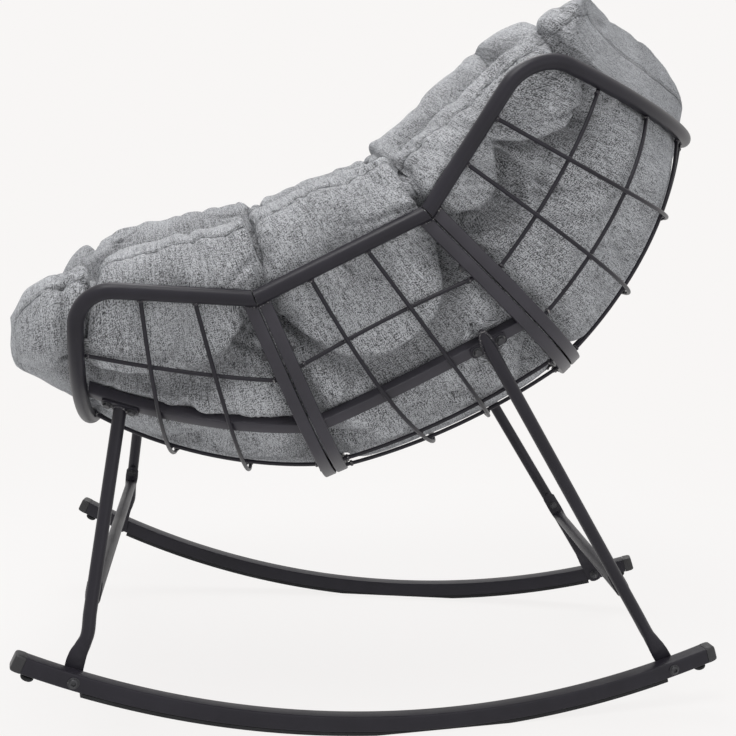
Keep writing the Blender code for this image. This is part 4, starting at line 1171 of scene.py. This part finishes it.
def inflate(ob, pins, cap_out, cap_in):
    """Cloth blown up from inside with its tufts held; then each point's way is cut to the caps.

    The caps are for the outer face and for the inner face, along the normal; the rim and the way to the side
    have their own.
    """
    rim_cap, side_cap = 0.020, 0.012
    start, direction = points(ob.data), normals(ob.data)
    group = ob.vertex_groups.new(name="held")
    for i in np.nonzero(pins > 0.3)[0].tolist():
        group.add([i], 1.0, "REPLACE")
    cloth = ob.modifiers.new("cloth", "CLOTH")
    c = cloth.settings
    c.quality, c.mass, c.air_damping = 5, 0.22, 2.0
    c.tension_stiffness = c.compression_stiffness = 12.0
    c.shear_stiffness, c.bending_stiffness = 4.0, 0.35
    c.use_pressure, c.uniform_pressure_force = True, 4.2
    c.vertex_group_mass, c.pin_stiffness = "held", 1.0
    c.shrink_min = -0.045
    c.effector_weights.gravity = 0.0
    cloth.point_cache.frame_start, cloth.point_cache.frame_end = 1, BLOW_FRAMES
    for f in range(1, BLOW_FRAMES + 1):
        bpy.context.scene.frame_set(f)
    graph = bpy.context.evaluated_depsgraph_get()
    blown = points(ob.evaluated_get(graph).data)
    ob.modifiers.clear()
    bpy.context.scene.frame_set(1)
    ob.vertex_groups.clear()
    moved = blown - start
    out = np.sum(moved * direction, 1)
    side = moved - out[:, None] * direction
    out = np.clip(out, -cap_in, np.where(read(ob.data, "pad_outer") > 0.6, cap_out, rim_cap))
    far = np.linalg.norm(side, axis=1, keepdims=True)
    side = side * np.minimum(1, side_cap / np.maximum(far, 1e-9))
    set_points(ob.data, start + out[:, None] * direction + side)


def set_points(mesh, co):
    """Places for all points at once."""
    mesh.vertices.foreach_set("co", np.asarray(co, np.float32).ravel())
    mesh.update()


def refine(ob, levels):
    """Smooth subdivision, applied."""
    mod = ob.modifiers.new("refine", "SUBSURF")
    mod.levels = mod.render_levels = levels
    graph = bpy.context.evaluated_depsgraph_get()
    fresh = bpy.data.meshes.new_from_object(ob.evaluated_get(graph), preserve_all_data_layers=True,
                                            depsgraph=graph)
    old = ob.data
    ob.modifiers.clear()
    ob.data = fresh
    name = old.name
    bpy.data.meshes.remove(old)
    fresh.name = name


def lobe_field(row, lip):
    """The side lobes: a scalloped groove under each, steep above and gentle below, with a swell over it."""
    depth = np.zeros(len(row))
    for a, b, drop in LOBES:
        t = np.clip((row - a) / (b - a), 0, 1)
        inside = smooth(a - 0.02, a + 0.03, row) * smooth(b + 0.02, b - 0.03, row)
        low = drop - 0.45 * drop * np.abs(2 * t - 1) ** 2.4
        q = lip - low
        groove = np.where(q < 0, bell(q, 0.0060), bell(q, 0.026))
        depth += inside * (0.020 * groove - 0.008 * bell(lip - 0.55 * low, 0.34 * low))
    return depth


def from_channel(along, signed, c):
    """Distance along the pad from a channel, which leans and sways where it climbs over the lip."""
    return along - c * ROW_M - channel_lean(signed) - 0.006 * np.sin(signed * 22 + c * 5)


def fold_field(mesh, rng):
    """Depth of the folds at every point.

    Lobes hang over the sides. Pinches cross the lip at each channel. Long folds run down from the edge seam
    and short gathers cross it, each a groove between two ridges, faded along its line. Pleats fan out of the
    tufts.
    """
    along, lip, row = read(mesh, "pad_along"), read(mesh, "pad_from_lip"), read(mesh, "pad_row")
    outer, side, share = read(mesh, "pad_outer"), read(mesh, "pad_side"), read(mesh, "pad_share")
    across = read(mesh, "pad_lip")
    signed = np.where(outer > 0.5, lip, -lip)
    depth = (outer > 0.7) * lobe_field(row, across)
    for s in (-1.0, 1.0):
        here, strength = (np.sign(side) == s) * 1.0, 1.0 if s < 0 else 0.6   # the right side is calmer
        for c, deep in zip(CHANNELS if s < 0 else FAR_PINCHES, (0.013, 0.013, 0.013, 0.006)):
            bend = from_channel(along, signed, c)
            depth += here * deep * strength * pleat(bend, 0.0065) * bell(signed - 0.01, 0.080)
        at = FOLDS_FROM
        while at < FOLDS_TO:
            at += rng.uniform(0.034, 0.080)
            slant, reach, centre = rng.uniform(-0.6, 0.6), rng.uniform(0.035, 0.085), rng.uniform(0.02, 0.08)
            wide, deep = rng.uniform(0.0050, 0.0110), rng.uniform(0.0020, 0.0050)
            t = signed - centre
            d = along - at - slant * t - 0.005 * np.sin(t * 45 + at * 40)
            depth += here * deep * strength * bell(t, reach) * pleat(d, wide)
        at = FOLDS_FROM
        while at < FOLDS_TO:
            at += rng.uniform(0.012, 0.034)
            slant, reach = rng.uniform(-0.6, 0.6), rng.uniform(0.010, 0.026)
            wide, deep = rng.uniform(0.0018, 0.0032), rng.uniform(0.0005, 0.0016)
            t = signed - SEAM_AT - 0.002
            depth += here * deep * bell(t, reach) * pleat(along - at - slant * t, wide)
        for c in CHANNELS:
            for k in range(CHANNEL_FOLDS):
                at, angle = rng.uniform(-0.06, 0.13), rng.uniform(-0.9, 0.9)
                way, reach = rng.choice([-1.0, 1.0]), rng.uniform(0.025, 0.070)
                wide, deep = rng.uniform(0.0030, 0.0058), rng.uniform(0.0016, 0.0042)
                t = (along - c * ROW_M) * way
                d = signed - at - angle * t - 0.004 * np.sin(t * 60 + k)
                depth += here * deep * smooth(-0.004, 0.006, t) * bell(t, reach) * pleat(d, wide)
    for a, b, drop in LOBES:
        for s in (-1.0, 1.0):
            for k in range(LOBE_FOLDS):
                mid = a + (b - a) * rng.uniform(0.1, 0.9)
                angle = rng.uniform(0.5, 1.2) * rng.choice([-1.0, 1.0])
                wide, deep = rng.uniform(0.004, 0.009), rng.uniform(0.002, 0.005)
                reach = rng.uniform(0.03, 0.07)
                t = across - drop * rng.uniform(0.9, 1.5)
                d = along - mid * ROW_M - angle * t
                depth += (outer > 0.7) * (np.sign(side) == s) * deep * bell(t, reach) * pleat(d, wide)
    for c in CHANNELS[:3] + ROWS:
        for q in COLUMNS:
            for s in (-1.0, 1.0):
                px = np.sign(side) * (1 - share) * HALF_M - s * (1 - q) * HALF_M
                py = along - c * ROW_M
                r, a = np.hypot(px, py), np.arctan2(py, px)
                rays = sum(rng.uniform(0.4, 1.0) * bell(np.angle(np.exp(1j * (a - b))), 0.16)
                           for b in rng.uniform(0, 2 * math.pi, 7))
                depth += (share > 0.01) * 0.0042 * rays * bell(r - 0.018, 0.026)
    return depth, signed


def dress_pad(ob):
    """Folds, a soft random swell and the sewn lines laid on the refined pad, which pad_uv has already given
    its UV map in metres.
    """
    rng = np.random.default_rng(11)
    mesh = ob.data
    depth, signed = fold_field(mesh, rng)
    along, side = read(mesh, "pad_along"), read(mesh, "pad_side")
    outer, end = read(mesh, "pad_outer"), read(mesh, "pad_from_end")
    co, no = points(mesh), normals(mesh)
    swell = np.array([noise.noise(Vector(p)) + 0.5 * noise.noise(Vector(p) * 2.3)
                      for p in (co * 13.0).tolist()])            # waves of about 8 cm, and finer ones
    quiet = smooth(0.0, 0.02, end)
    set_points(mesh, co + no * (swell * 0.0042 - depth * quiet)[:, None])
    edge = np.where(outer > 0.5, np.minimum(signed, np.where(end < 0.12, end, 9.0)), 9.0)
    wander = 0.0016 * np.sin(along * 70) + 0.001 * np.sin(along * 163 + side * 3)
    seam = np.abs(edge - SEAM_AT - wander)
    over_lip = np.where(np.abs(signed) < 0.085, 0.0, 9.0)
    for c in CHANNELS[1:]:
        seam = np.minimum(seam, np.abs(from_channel(along, signed, c)) + over_lip)
    # the second attribute is the depth of the folds, kept to paint shade into them
    for name, field in (("seam", np.minimum(seam, 0.05)), ("crease", np.clip(depth / 0.008, 0, 1))):
        mesh.attributes.new(name, "FLOAT", "POINT").data.foreach_set("value", field.astype(np.float32))
    for name in [a.name for a in mesh.attributes if a.name.startswith("pad_")]:
        mesh.attributes.remove(mesh.attributes[name])


def pad_uv(mesh):
    """UV in metres: arc length round the edge and across, and arc length along from the front end."""
    u = np.sign(read(mesh, "pad_side")) * (0.60 - read(mesh, "pad_from_lip"))
    uv = np.stack([u, read(mesh, "pad_arc")], 1)
    loops = np.zeros(len(mesh.loops), int)
    mesh.loops.foreach_get("vertex_index", loops)
    layer = mesh.uv_layers.new(name="UVMap")
    layer.data.foreach_set("uv", uv[loops].astype(np.float32).ravel())


WIRE_LIMIT = 0.0088              # the pad stays this far inside the basket's surface, behind the wires
TOUCH = 0.0012                   # and this far from every tube, bar and wire
# behind a leg rail or joint bar: how far past its own depth, full within the first distance of its middle
# line and nothing beyond the second
RAIL_HOLD = (0.0048, 0.0082, 0.0150)
BAR_HOLD = (0.0030, 0.0150, 0.0270)


def hold_back(ob):
    """Presses the pad in where it would pass the wires, and further in behind the leg rails and joint bars.

    A fine grid of the basket's surface finds each point's nearest place and how far it stands inside. Its
    limit there is the wires' depth, eased up to the depth of a bar's or rail's inner face near one.
    """
    s, n, m, ease = sizes(), 220, 160, 0.004
    v, th = np.meshgrid(np.linspace(0.0, 3.0, n), np.linspace(0.0, math.pi, m), indexing="ij")
    skin = on_basket(v, th)
    limit = np.full((n, m), WIRE_LIMIT)
    flat = skin.reshape(-1, 3)
    lines = [(runner(spot.i, rail_ends(spot), 0.0, circle(0.001, 4))[1], s.rail, RAIL_HOLD)
             for spot in LEG_SPOTS.values()]
    lines += [(on_basket(float(k), np.linspace(0, math.pi, 200)), s.bar_depth, BAR_HOLD) for k in (1, 2)]
    for path, depth, (past, near, away) in lines:
        deep = depth + past
        for mirror in ((1, 1, 1), (-1, 1, 1)):
            strip = np.concatenate([path, path + (0, 0, 1e-5)]) * mirror
            tree = BVHTree.FromPolygons([tuple(p) for p in strip],
                                        [(k, k + 1, len(path) + k) for k in range(len(path) - 1)])
            far = np.array([tree.find_nearest(Vector(p))[3] for p in flat.tolist()]).reshape(n, m)
            limit = np.maximum(limit, deep - (deep - limit) * smooth(near, away, far))
    ids = np.arange(n * m).reshape(n, m)
    quads = np.stack([ids[:-1, :-1], ids[:-1, 1:], ids[1:, 1:], ids[1:, :-1]], -1).reshape(-1, 4)
    out = outward(v, th)[:-1, :-1].reshape(-1, 3)
    limit, out = limit[:-1, :-1].ravel(), settled(out, True)
    tree = BVHTree.FromPolygons([tuple(p) for p in settled(flat).tolist()], quads.tolist())
    co = points(ob.data)
    for i, p in enumerate(co.tolist()):
        at, _, k, _ = tree.find_nearest(Vector(p))
        if k is None or k % (m - 1) in (0, m - 2):
            continue
        over = float((co[i] - np.array(at)) @ out[k]) + limit[k]
        if over > -ease:
            co[i] -= out[k] * ((over + ease) ** 2 / (4 * ease) if over < ease else over)
    set_points(ob.data, co)


def stay_inside(ob):
    """Moves points of the pad that come too near a rim, bar, rail, leg or wire clear of it."""
    mesh = ob.data
    co = points(mesh)
    names = ("rim", "joint", "grid", "leg_rail", "leg_front", "leg_rear")
    for o in [o for o in bpy.context.scene.objects if o.name.startswith(names)]:
        skin = points(o.data)
        tree = BVHTree.FromPolygons([tuple(p) for p in skin], [tuple(p.vertices) for p in o.data.polygons])
        lo, hi = skin.min(0) - 0.02, skin.max(0) + 0.02
        for i in np.nonzero(((co > lo) & (co < hi)).all(1))[0].tolist():
            at, way, _, far = tree.find_nearest(Vector(co[i]), 0.016)
            if at is None:
                continue
            dist = -far if (Vector(co[i]) - at).dot(way) < 0 else far
            if dist < TOUCH:
                co[i] += np.array(way) * (TOUCH - dist)
    set_points(mesh, co)


# operators

class CHAIR_OT_rims(bpy.types.Operator):
    """Bent rim tubes of the front, middle and back sections"""
    bl_idname, bl_label = "chair.rims", "Rim tubes"

    def execute(self, context):
        s = sizes()
        for name, v_end, v_joint, corner, sign in (("front_rail", 0, 1, 0.042, -1),
                                                   ("back_rail", 3, 2, 0.052, 1)):
            p, n = plane(v_joint)
            cut = (p + n * sign * s.joint_gap, n)
            path = whole(end_rail_half(v_end, v_joint, corner), 0.006)
            ups = unit(path - path.mean(0))
            piece("rim_" + name, sweep(path, circle(s.tube, 32), ups, (cut, cut)), "powder_coat", [name])
        a, b = (place(STATIONS[k], STATIONS[k][3], 0.0) for k in (1, 2))
        (p1, n1), (p2, n2) = plane(1), plane(2)
        tube = sweep(np.linspace(a, b, 24), circle(s.tube, 32), (1.0, 0, 0),
                     ((p1 + n1 * s.joint_gap, n1), (p2 - n2 * s.joint_gap, n2)))
        for label, side in SIDES:
            piece("rim_middle_" + label, on_side(tube, side), "powder_coat", ["middle_rim_" + label])
        return {"FINISHED"}


class CHAIR_OT_joints(bpy.types.Operator):
    """Square bars bolted together where the sections meet, with weld beads under the rims"""
    bl_idname, bl_label = "chair.joints", "Joint bars"

    def execute(self, context):
        s, beads = sizes(), []
        for name, v, sign in (("front_joint_bar", 1, -1), ("middle_front_bar", 1, 1),
                              ("middle_rear_bar", 2, -1), ("back_joint_bar", 2, 1)):
            path, outs, cut = rib(v, sign)
            bar = sweep(path, box(s.bar_width, s.bar_depth, BAR_ROUND), outs, (cut, cut))
            piece("joint_" + name, bar, "bar_coat", [name])
            n = plane(v)[1]
            for end, nxt in ((0, 3), (-1, -4)):
                t = unit(path[nxt] - path[end])
                for k in (-1, 1):
                    for j in range(5):
                        at = path[end] + outs[end] * k * (s.bar_depth / 2) + n * (j - 2) * 0.0032
                        at = at - t * (((at - cut[0]) @ cut[1]) / (t @ cut[1])) + t * 0.0004
                        beads.append(bead(at, n, 0.0015, 0.0021, j + v + k))
        piece("joint_welds", merged(beads), "weld", [])
        return {"FINISHED"}


class CHAIR_OT_grids(bpy.types.Operator):
    """Wire grids of the three sections with their weld beads"""
    bl_idname, bl_label = "chair.grids", "Wire grids"

    def execute(self, context):
        for i, name in enumerate(("front_grid", "middle_grid", "back_grid")):
            wires, beads = grid_parts(i)
            piece("grid_" + name, wires, "powder_coat", [name])
            piece("welds_" + name, beads, "weld", [])
        return {"FINISHED"}


class CHAIR_OT_legs(bpy.types.Operator):
    """Leg rails, legs with their plates, crossbars and the bolts that hold them"""
    bl_idname, bl_label = "chair.legs", "Legs"

    def execute(self, context):
        s = sizes()
        for end, rail_name in (("front", "front_leg_rail"), ("rear", "middle_leg_rail")):
            leg, weld, at = leg_parts(end)
            bar, tab, across = crossbar_parts(end, at)
            piece(end + "_crossbar_shown", bar, "powder_coat", [end + "_crossbar"], sharp=50)
            start = at["foot"] - at["inward"] * (s.rocker + 0.0028)
            on_plate, apart = at["face"] + at["out"] * 0.0031, at["along"] * 0.0155
            bolts = {
                "rocker_bolt": socket_bolt(start, at["inward"], s.rocker + 0.0055),
                "plate_bolt_a": hex_bolt(on_plate - apart, -at["out"]),
                "plate_bolt_b": hex_bolt(on_plate + apart, -at["out"]),
                "crossbar_bolt": hex_bolt(tab - across * 0.0021, across, 0.0026, 0.0044, 0.0054),
            }
            for label, side in SIDES:
                tag = f"{end}_{label}"
                piece("leg_rail_" + tag, on_side(at["rail"], side), "bar_coat", [f"{rail_name}_{label}"])
                piece("leg_" + tag, on_side(leg, side), "powder_coat", [f"{end}_leg_{label}"], sharp=40)
                piece("leg_weld_" + tag, on_side(weld, side), "weld", [])
                for name, solid in bolts.items():
                    node = f"{end}_{name}_{label}"
                    piece(node + "_shown", on_side(solid, side), "bolt_steel", [node], sharp=25)
        return {"FINISHED"}


ROCKER_ARC = (-26.5, 16.4)      # degrees from the floor contact to the bar's ends
STRIP_ARC = (-22.9, 13.5)       # and to the rubber strip's ends


def rubber_strip():
    """The strip under a rocker, with eased edges and a flat pressed where it stands on the floor."""
    s = sizes()
    lo, hi = -s.settle - s.flat, -s.settle + s.flat
    arcs = np.concatenate([np.linspace(STRIP_ARC[0], lo, 60), np.linspace(lo, hi, 24)[1:-1],
                           np.linspace(hi, STRIP_ARC[1], 50)])
    top, low = s.rocker_radius + CLEAR, s.rocker_radius + s.strip
    section = ((top, 0.0012), (top, 0.0188), (low - 0.0010, 0.0184), (low - 0.0003, 0.0180), (low, 0.0172),
               (low, 0.0028), (low - 0.0003, 0.0020), (low - 0.0010, 0.0016))
    eased = np.array([0.0010, 0.0003, 0.0, 0.0, 0.0003, 0.0010])
    verts = settled(np.stack([rocker_point(arcs, r, x) for r, x in section], 1))
    pressed = (arcs > lo - 0.01) & (arcs < hi + 0.01)
    verts[pressed, 2:, 2] = np.maximum(verts[pressed, 2:, 2], eased)
    return verts.reshape(-1, 3), tube_faces(len(arcs), len(section))


class CHAIR_OT_rockers(bpy.types.Operator):
    """Rocker bars with rubber strips, end caps and stop pads"""
    bl_idname, bl_label = "chair.rockers", "Rockers"

    def execute(self, context):
        s = sizes()
        middle = s.rocker_radius - s.rocker / 2
        bar = arc_bar(np.linspace(*ROCKER_ARC, 130), middle, box(s.rocker, s.rocker, 0.0020), s.rocker / 2)
        strip = rubber_strip()
        pads, caps = {}, {}
        share = np.array([0.03, 0.10, 0.45, 0.75, 0.92, 1.0])       # along the cap, outwards
        scale = np.array([1.03, 1.05, 1.05, 1.02, 0.95, 0.82])      # of the bar's section
        prof = box(s.rocker, s.rocker, 0.0030, 6)[None] * scale[:, None, None]
        for end, tip, sign in (("front", ROCKER_ARC[0], -1), ("rear", ROCKER_ARC[1], 1)):
            arcs = tip + sign * 0.62 * share
            caps[end] = arc_bar(arcs[::sign], middle, prof[::sign], s.rocker / 2)
            foot = tip - sign * 0.5
            up = rocker_dirs(foot)[1]
            base = rocker_point(foot, s.rocker_radius + CLEAR, s.rocker / 2)
            pads[end] = merged([
                lathe(base, -up, [(0, 0.001), (0, 0.0050), (0.0014, 0.0050), (0.0016, 0.001)]),
                lathe(base, -up, [(0.0015, 0.0060), (0.0019, 0.0074), (0.0026, 0.0078), (0.0042, 0.0078),
                                  (0.0056, 0.0070), (0.0066, 0.0058), (0.0074, 0.0034), (0.0076, 0.0006)])])
        for label, side in SIDES:
            piece("rocker_bar_" + label, on_side(bar, side), "powder_coat", ["rocker_" + label])
            piece("strip_" + label, on_side(strip, side), "rubber", ["rubber_strip_" + label], placed=True)
            for end in ("front", "rear"):
                piece(f"cap_{end}_{label}", on_side(caps[end], side), "black_plastic",
                      [f"{end}_end_cap_{label}"], sharp=60)
                piece(f"foot_{end}_{label}", on_side(pads[end], side), "rubber", [f"{end}_stop_pad_{label}"],
                      sharp=50)
        return {"FINISHED"}


class CHAIR_OT_bolts(bpy.types.Operator):
    """Bolts through the pairs of joint bars"""
    bl_idname, bl_label = "chair.bolts", "Joint bolts"

    def execute(self, context):
        s = sizes()
        for label, v in (("front_joint", 1), ("rear_joint", 2)):
            n = plane(v)[1]
            for k, th in (("side", theta_at(v, 0.25)), ("lower", theta_x(v, 0.33))):
                o = outward(v - 0.01 if v > 1 else v, th)
                o = unit(o - n * (o @ n))
                start = on_basket(v, th) - o * (s.bar_depth / 2 - BAR_PROUD) + n * (s.joint_gap + s.bar_width)
                solid = hex_bolt(start, -n, shank=2 * (s.joint_gap + s.bar_width))
                for side_name, side in SIDES:
                    node = f"{label}_bolt_{k}_{side_name}"
                    piece(node + "_shown", on_side(solid, side), "bolt_steel", [node], sharp=25)
        return {"FINISHED"}


class CHAIR_OT_pad(bpy.types.Operator):
    """Thick tufted pad: cloth blown up between its tufts, then refined, folded and sewn"""
    bl_idname, bl_label = "chair.pad", "Pad"

    def execute(self, context):
        ob, fields = pad_mesh("pad")
        inflate(ob, fields["pins"], 0.017, 0.026)
        hold_back(ob)
        refine(ob, 2)
        pad_uv(ob.data)
        dress_pad(ob)
        hold_back(ob)
        stay_inside(ob)
        ob.data.materials.append(look("grey_fabric"))
        ob.data.polygons.foreach_set("use_smooth", np.ones(len(ob.data.polygons), bool))
        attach(ob, "root")
        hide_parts("seat_cushion")
        return {"FINISHED"}


SEEN_RAYS = ("Is Camera Ray", "Is Glossy Ray", "Is Transmission Ray")


def either(first, *rest):
    """The largest of some wires."""
    for wire in rest:
        first = first.math("MAXIMUM", first, wire)
    return first


def pale_floor():
    """A plain floor that keeps a little shadow and fades into the backdrop away from the chair."""
    mesh = bpy.data.meshes.new("floor")
    mesh.from_pydata([(-6, -6, 0), (6, -6, 0), (6, 6, 0), (-6, 6, 0)], [], [(0, 1, 2, 3)])
    f = Finish("floor_look")
    c = colours().floor
    f.set(Base_Color=f.mix(f.noise(f.coords(), 3.0) * 0.2, c, shaded(c, 0.98)), Roughness=0.85,
          Specular_IOR_Level=0.1)
    far = f.node("VectorMath", {"operation": "LENGTH"}, out="Value", _0=f.coords()).ramp(0.7, 1.7)
    seen = either(*(f.node("LightPath", out=k) for k in SEEN_RAYS))
    glow = f.node("Emission", Color=colours().backdrop, Strength=1.0)
    blend = f.node("MixShader", _0=seen * (0.90 + far * 0.10), _1=Wire(f.tree, f.shader.outputs[0]), _2=glow)
    f.tree.links.new(blend.out, f.tree.nodes["Material Output"].inputs["Surface"])
    mesh.materials.append(f.mat)
    linked("floor", mesh)


def studio_world():
    """Even soft light, with the pale backdrop where it is seen straight on or in a reflection."""
    world = bpy.data.worlds.new("studio")
    bpy.context.scene.world = world
    world.use_nodes = True
    tree = world.node_tree
    light, seen = tree.nodes["Background"], tree.nodes.new("ShaderNodeBackground")
    for node, colour, strength in ((light, (0.95, 0.97, 1.0), 0.58), (seen, colours().backdrop, 1.0)):
        feed(tree, node.inputs["Color"], colour)
        node.inputs["Strength"].default_value = strength
    path, mix = tree.nodes.new("ShaderNodeLightPath"), tree.nodes.new("ShaderNodeMixShader")
    tree.links.new(either(*(Wire(tree, path.outputs[k]) for k in SEEN_RAYS)).out, mix.inputs[0])
    tree.links.new(light.outputs[0], mix.inputs[1])
    tree.links.new(seen.outputs[0], mix.inputs[2])
    tree.links.new(mix.outputs[0], tree.nodes["World Output"].inputs["Surface"])


def soft_lamp(name, at, size, power):
    """A round area lamp turned towards the middle of the chair."""
    lamp = bpy.data.lights.new(name, "AREA")
    lamp.shape, lamp.size, lamp.energy = "DISK", size, power
    ob = linked(name, lamp)
    ob.location = at
    ob.rotation_euler = (Vector((0, 0, 0.45)) - Vector(at)).to_track_quat("-Z", "Y").to_euler()


def camera():
    """The photo's view: from the left side, a little from the front and from above."""
    yaw, pitch = math.radians(5.25), math.radians(9.72)
    forward = np.array([-math.cos(yaw) * math.cos(pitch), math.sin(yaw) * math.cos(pitch),
                        -math.sin(pitch)])
    right = np.array([math.sin(yaw), math.cos(yaw), 0.0])
    up = np.cross(right, forward)
    r, u, b = (settled(x, True) for x in (right, up, -forward))
    eye = settled(np.array([1.8061, -0.2631, 0.7252]))
    cam = bpy.data.cameras.new("camera")
    cam.lens, cam.sensor_width = sizes().lens, 36.0
    ob = linked("camera", cam)
    ob.matrix_world = Matrix([(r[k], u[k], b[k], eye[k]) for k in range(3)] + [(0, 0, 0, 1)])
    bpy.context.scene.camera = ob


LAMPS = (("key", (0.9, -0.6, 2.9), 1.3, 35.0), ("fill", (2.5, 1.4, 1.1), 2.0, 6.0),
         ("back", (-1.5, 0.0, 2.8), 1.6, 33.0))      # name, place, size and watts


class CHAIR_OT_stage(bpy.types.Operator):
    """Pale floor, soft studio lights and the camera"""
    bl_idname, bl_label = "chair.stage", "Stage"

    def execute(self, context):
        pale_floor()
        studio_world()
        for lamp in LAMPS:
            soft_lamp(*lamp)
        camera()
        context.scene.view_settings.view_transform = "Standard"
        return {"FINISHED"}


class CHAIR_PT_panel(bpy.types.Panel):
    """Sizes and colours of the chair"""
    bl_idname, bl_label = "CHAIR_PT_panel", "Rocking chair"
    bl_space_type, bl_region_type, bl_category = "VIEW_3D", "UI", "Chair"

    def draw(self, context):
        for group in (context.scene.chair_sizes, context.scene.chair_colours):
            for key in group.bl_rna.properties.keys():
                if key not in ("rna_type", "name"):
                    self.layout.prop(group, key)
        for op in STEPS:
            self.layout.operator(op.bl_idname)


STEPS = (CHAIR_OT_rims, CHAIR_OT_joints, CHAIR_OT_grids, CHAIR_OT_legs, CHAIR_OT_rockers, CHAIR_OT_bolts,
         CHAIR_OT_pad, CHAIR_OT_stage)


def register():
    for c in (ChairSizes, ChairColours, *STEPS, CHAIR_PT_panel):
        bpy.utils.register_class(c)
    bpy.types.Scene.chair_sizes = bpy.props.PointerProperty(type=ChairSizes)
    bpy.types.Scene.chair_colours = bpy.props.PointerProperty(type=ChairColours)


def unregister():
    del bpy.types.Scene.chair_sizes, bpy.types.Scene.chair_colours
    for c in (CHAIR_PT_panel, *STEPS[::-1], ChairColours, ChairSizes):
        bpy.utils.unregister_class(c)


def main():
    """Makes every piece and the stage in order."""
    register()
    for step in STEPS:
        getattr(bpy.ops.chair, step.bl_idname.split(".")[1])()


if __name__ == "__main__":
    main()
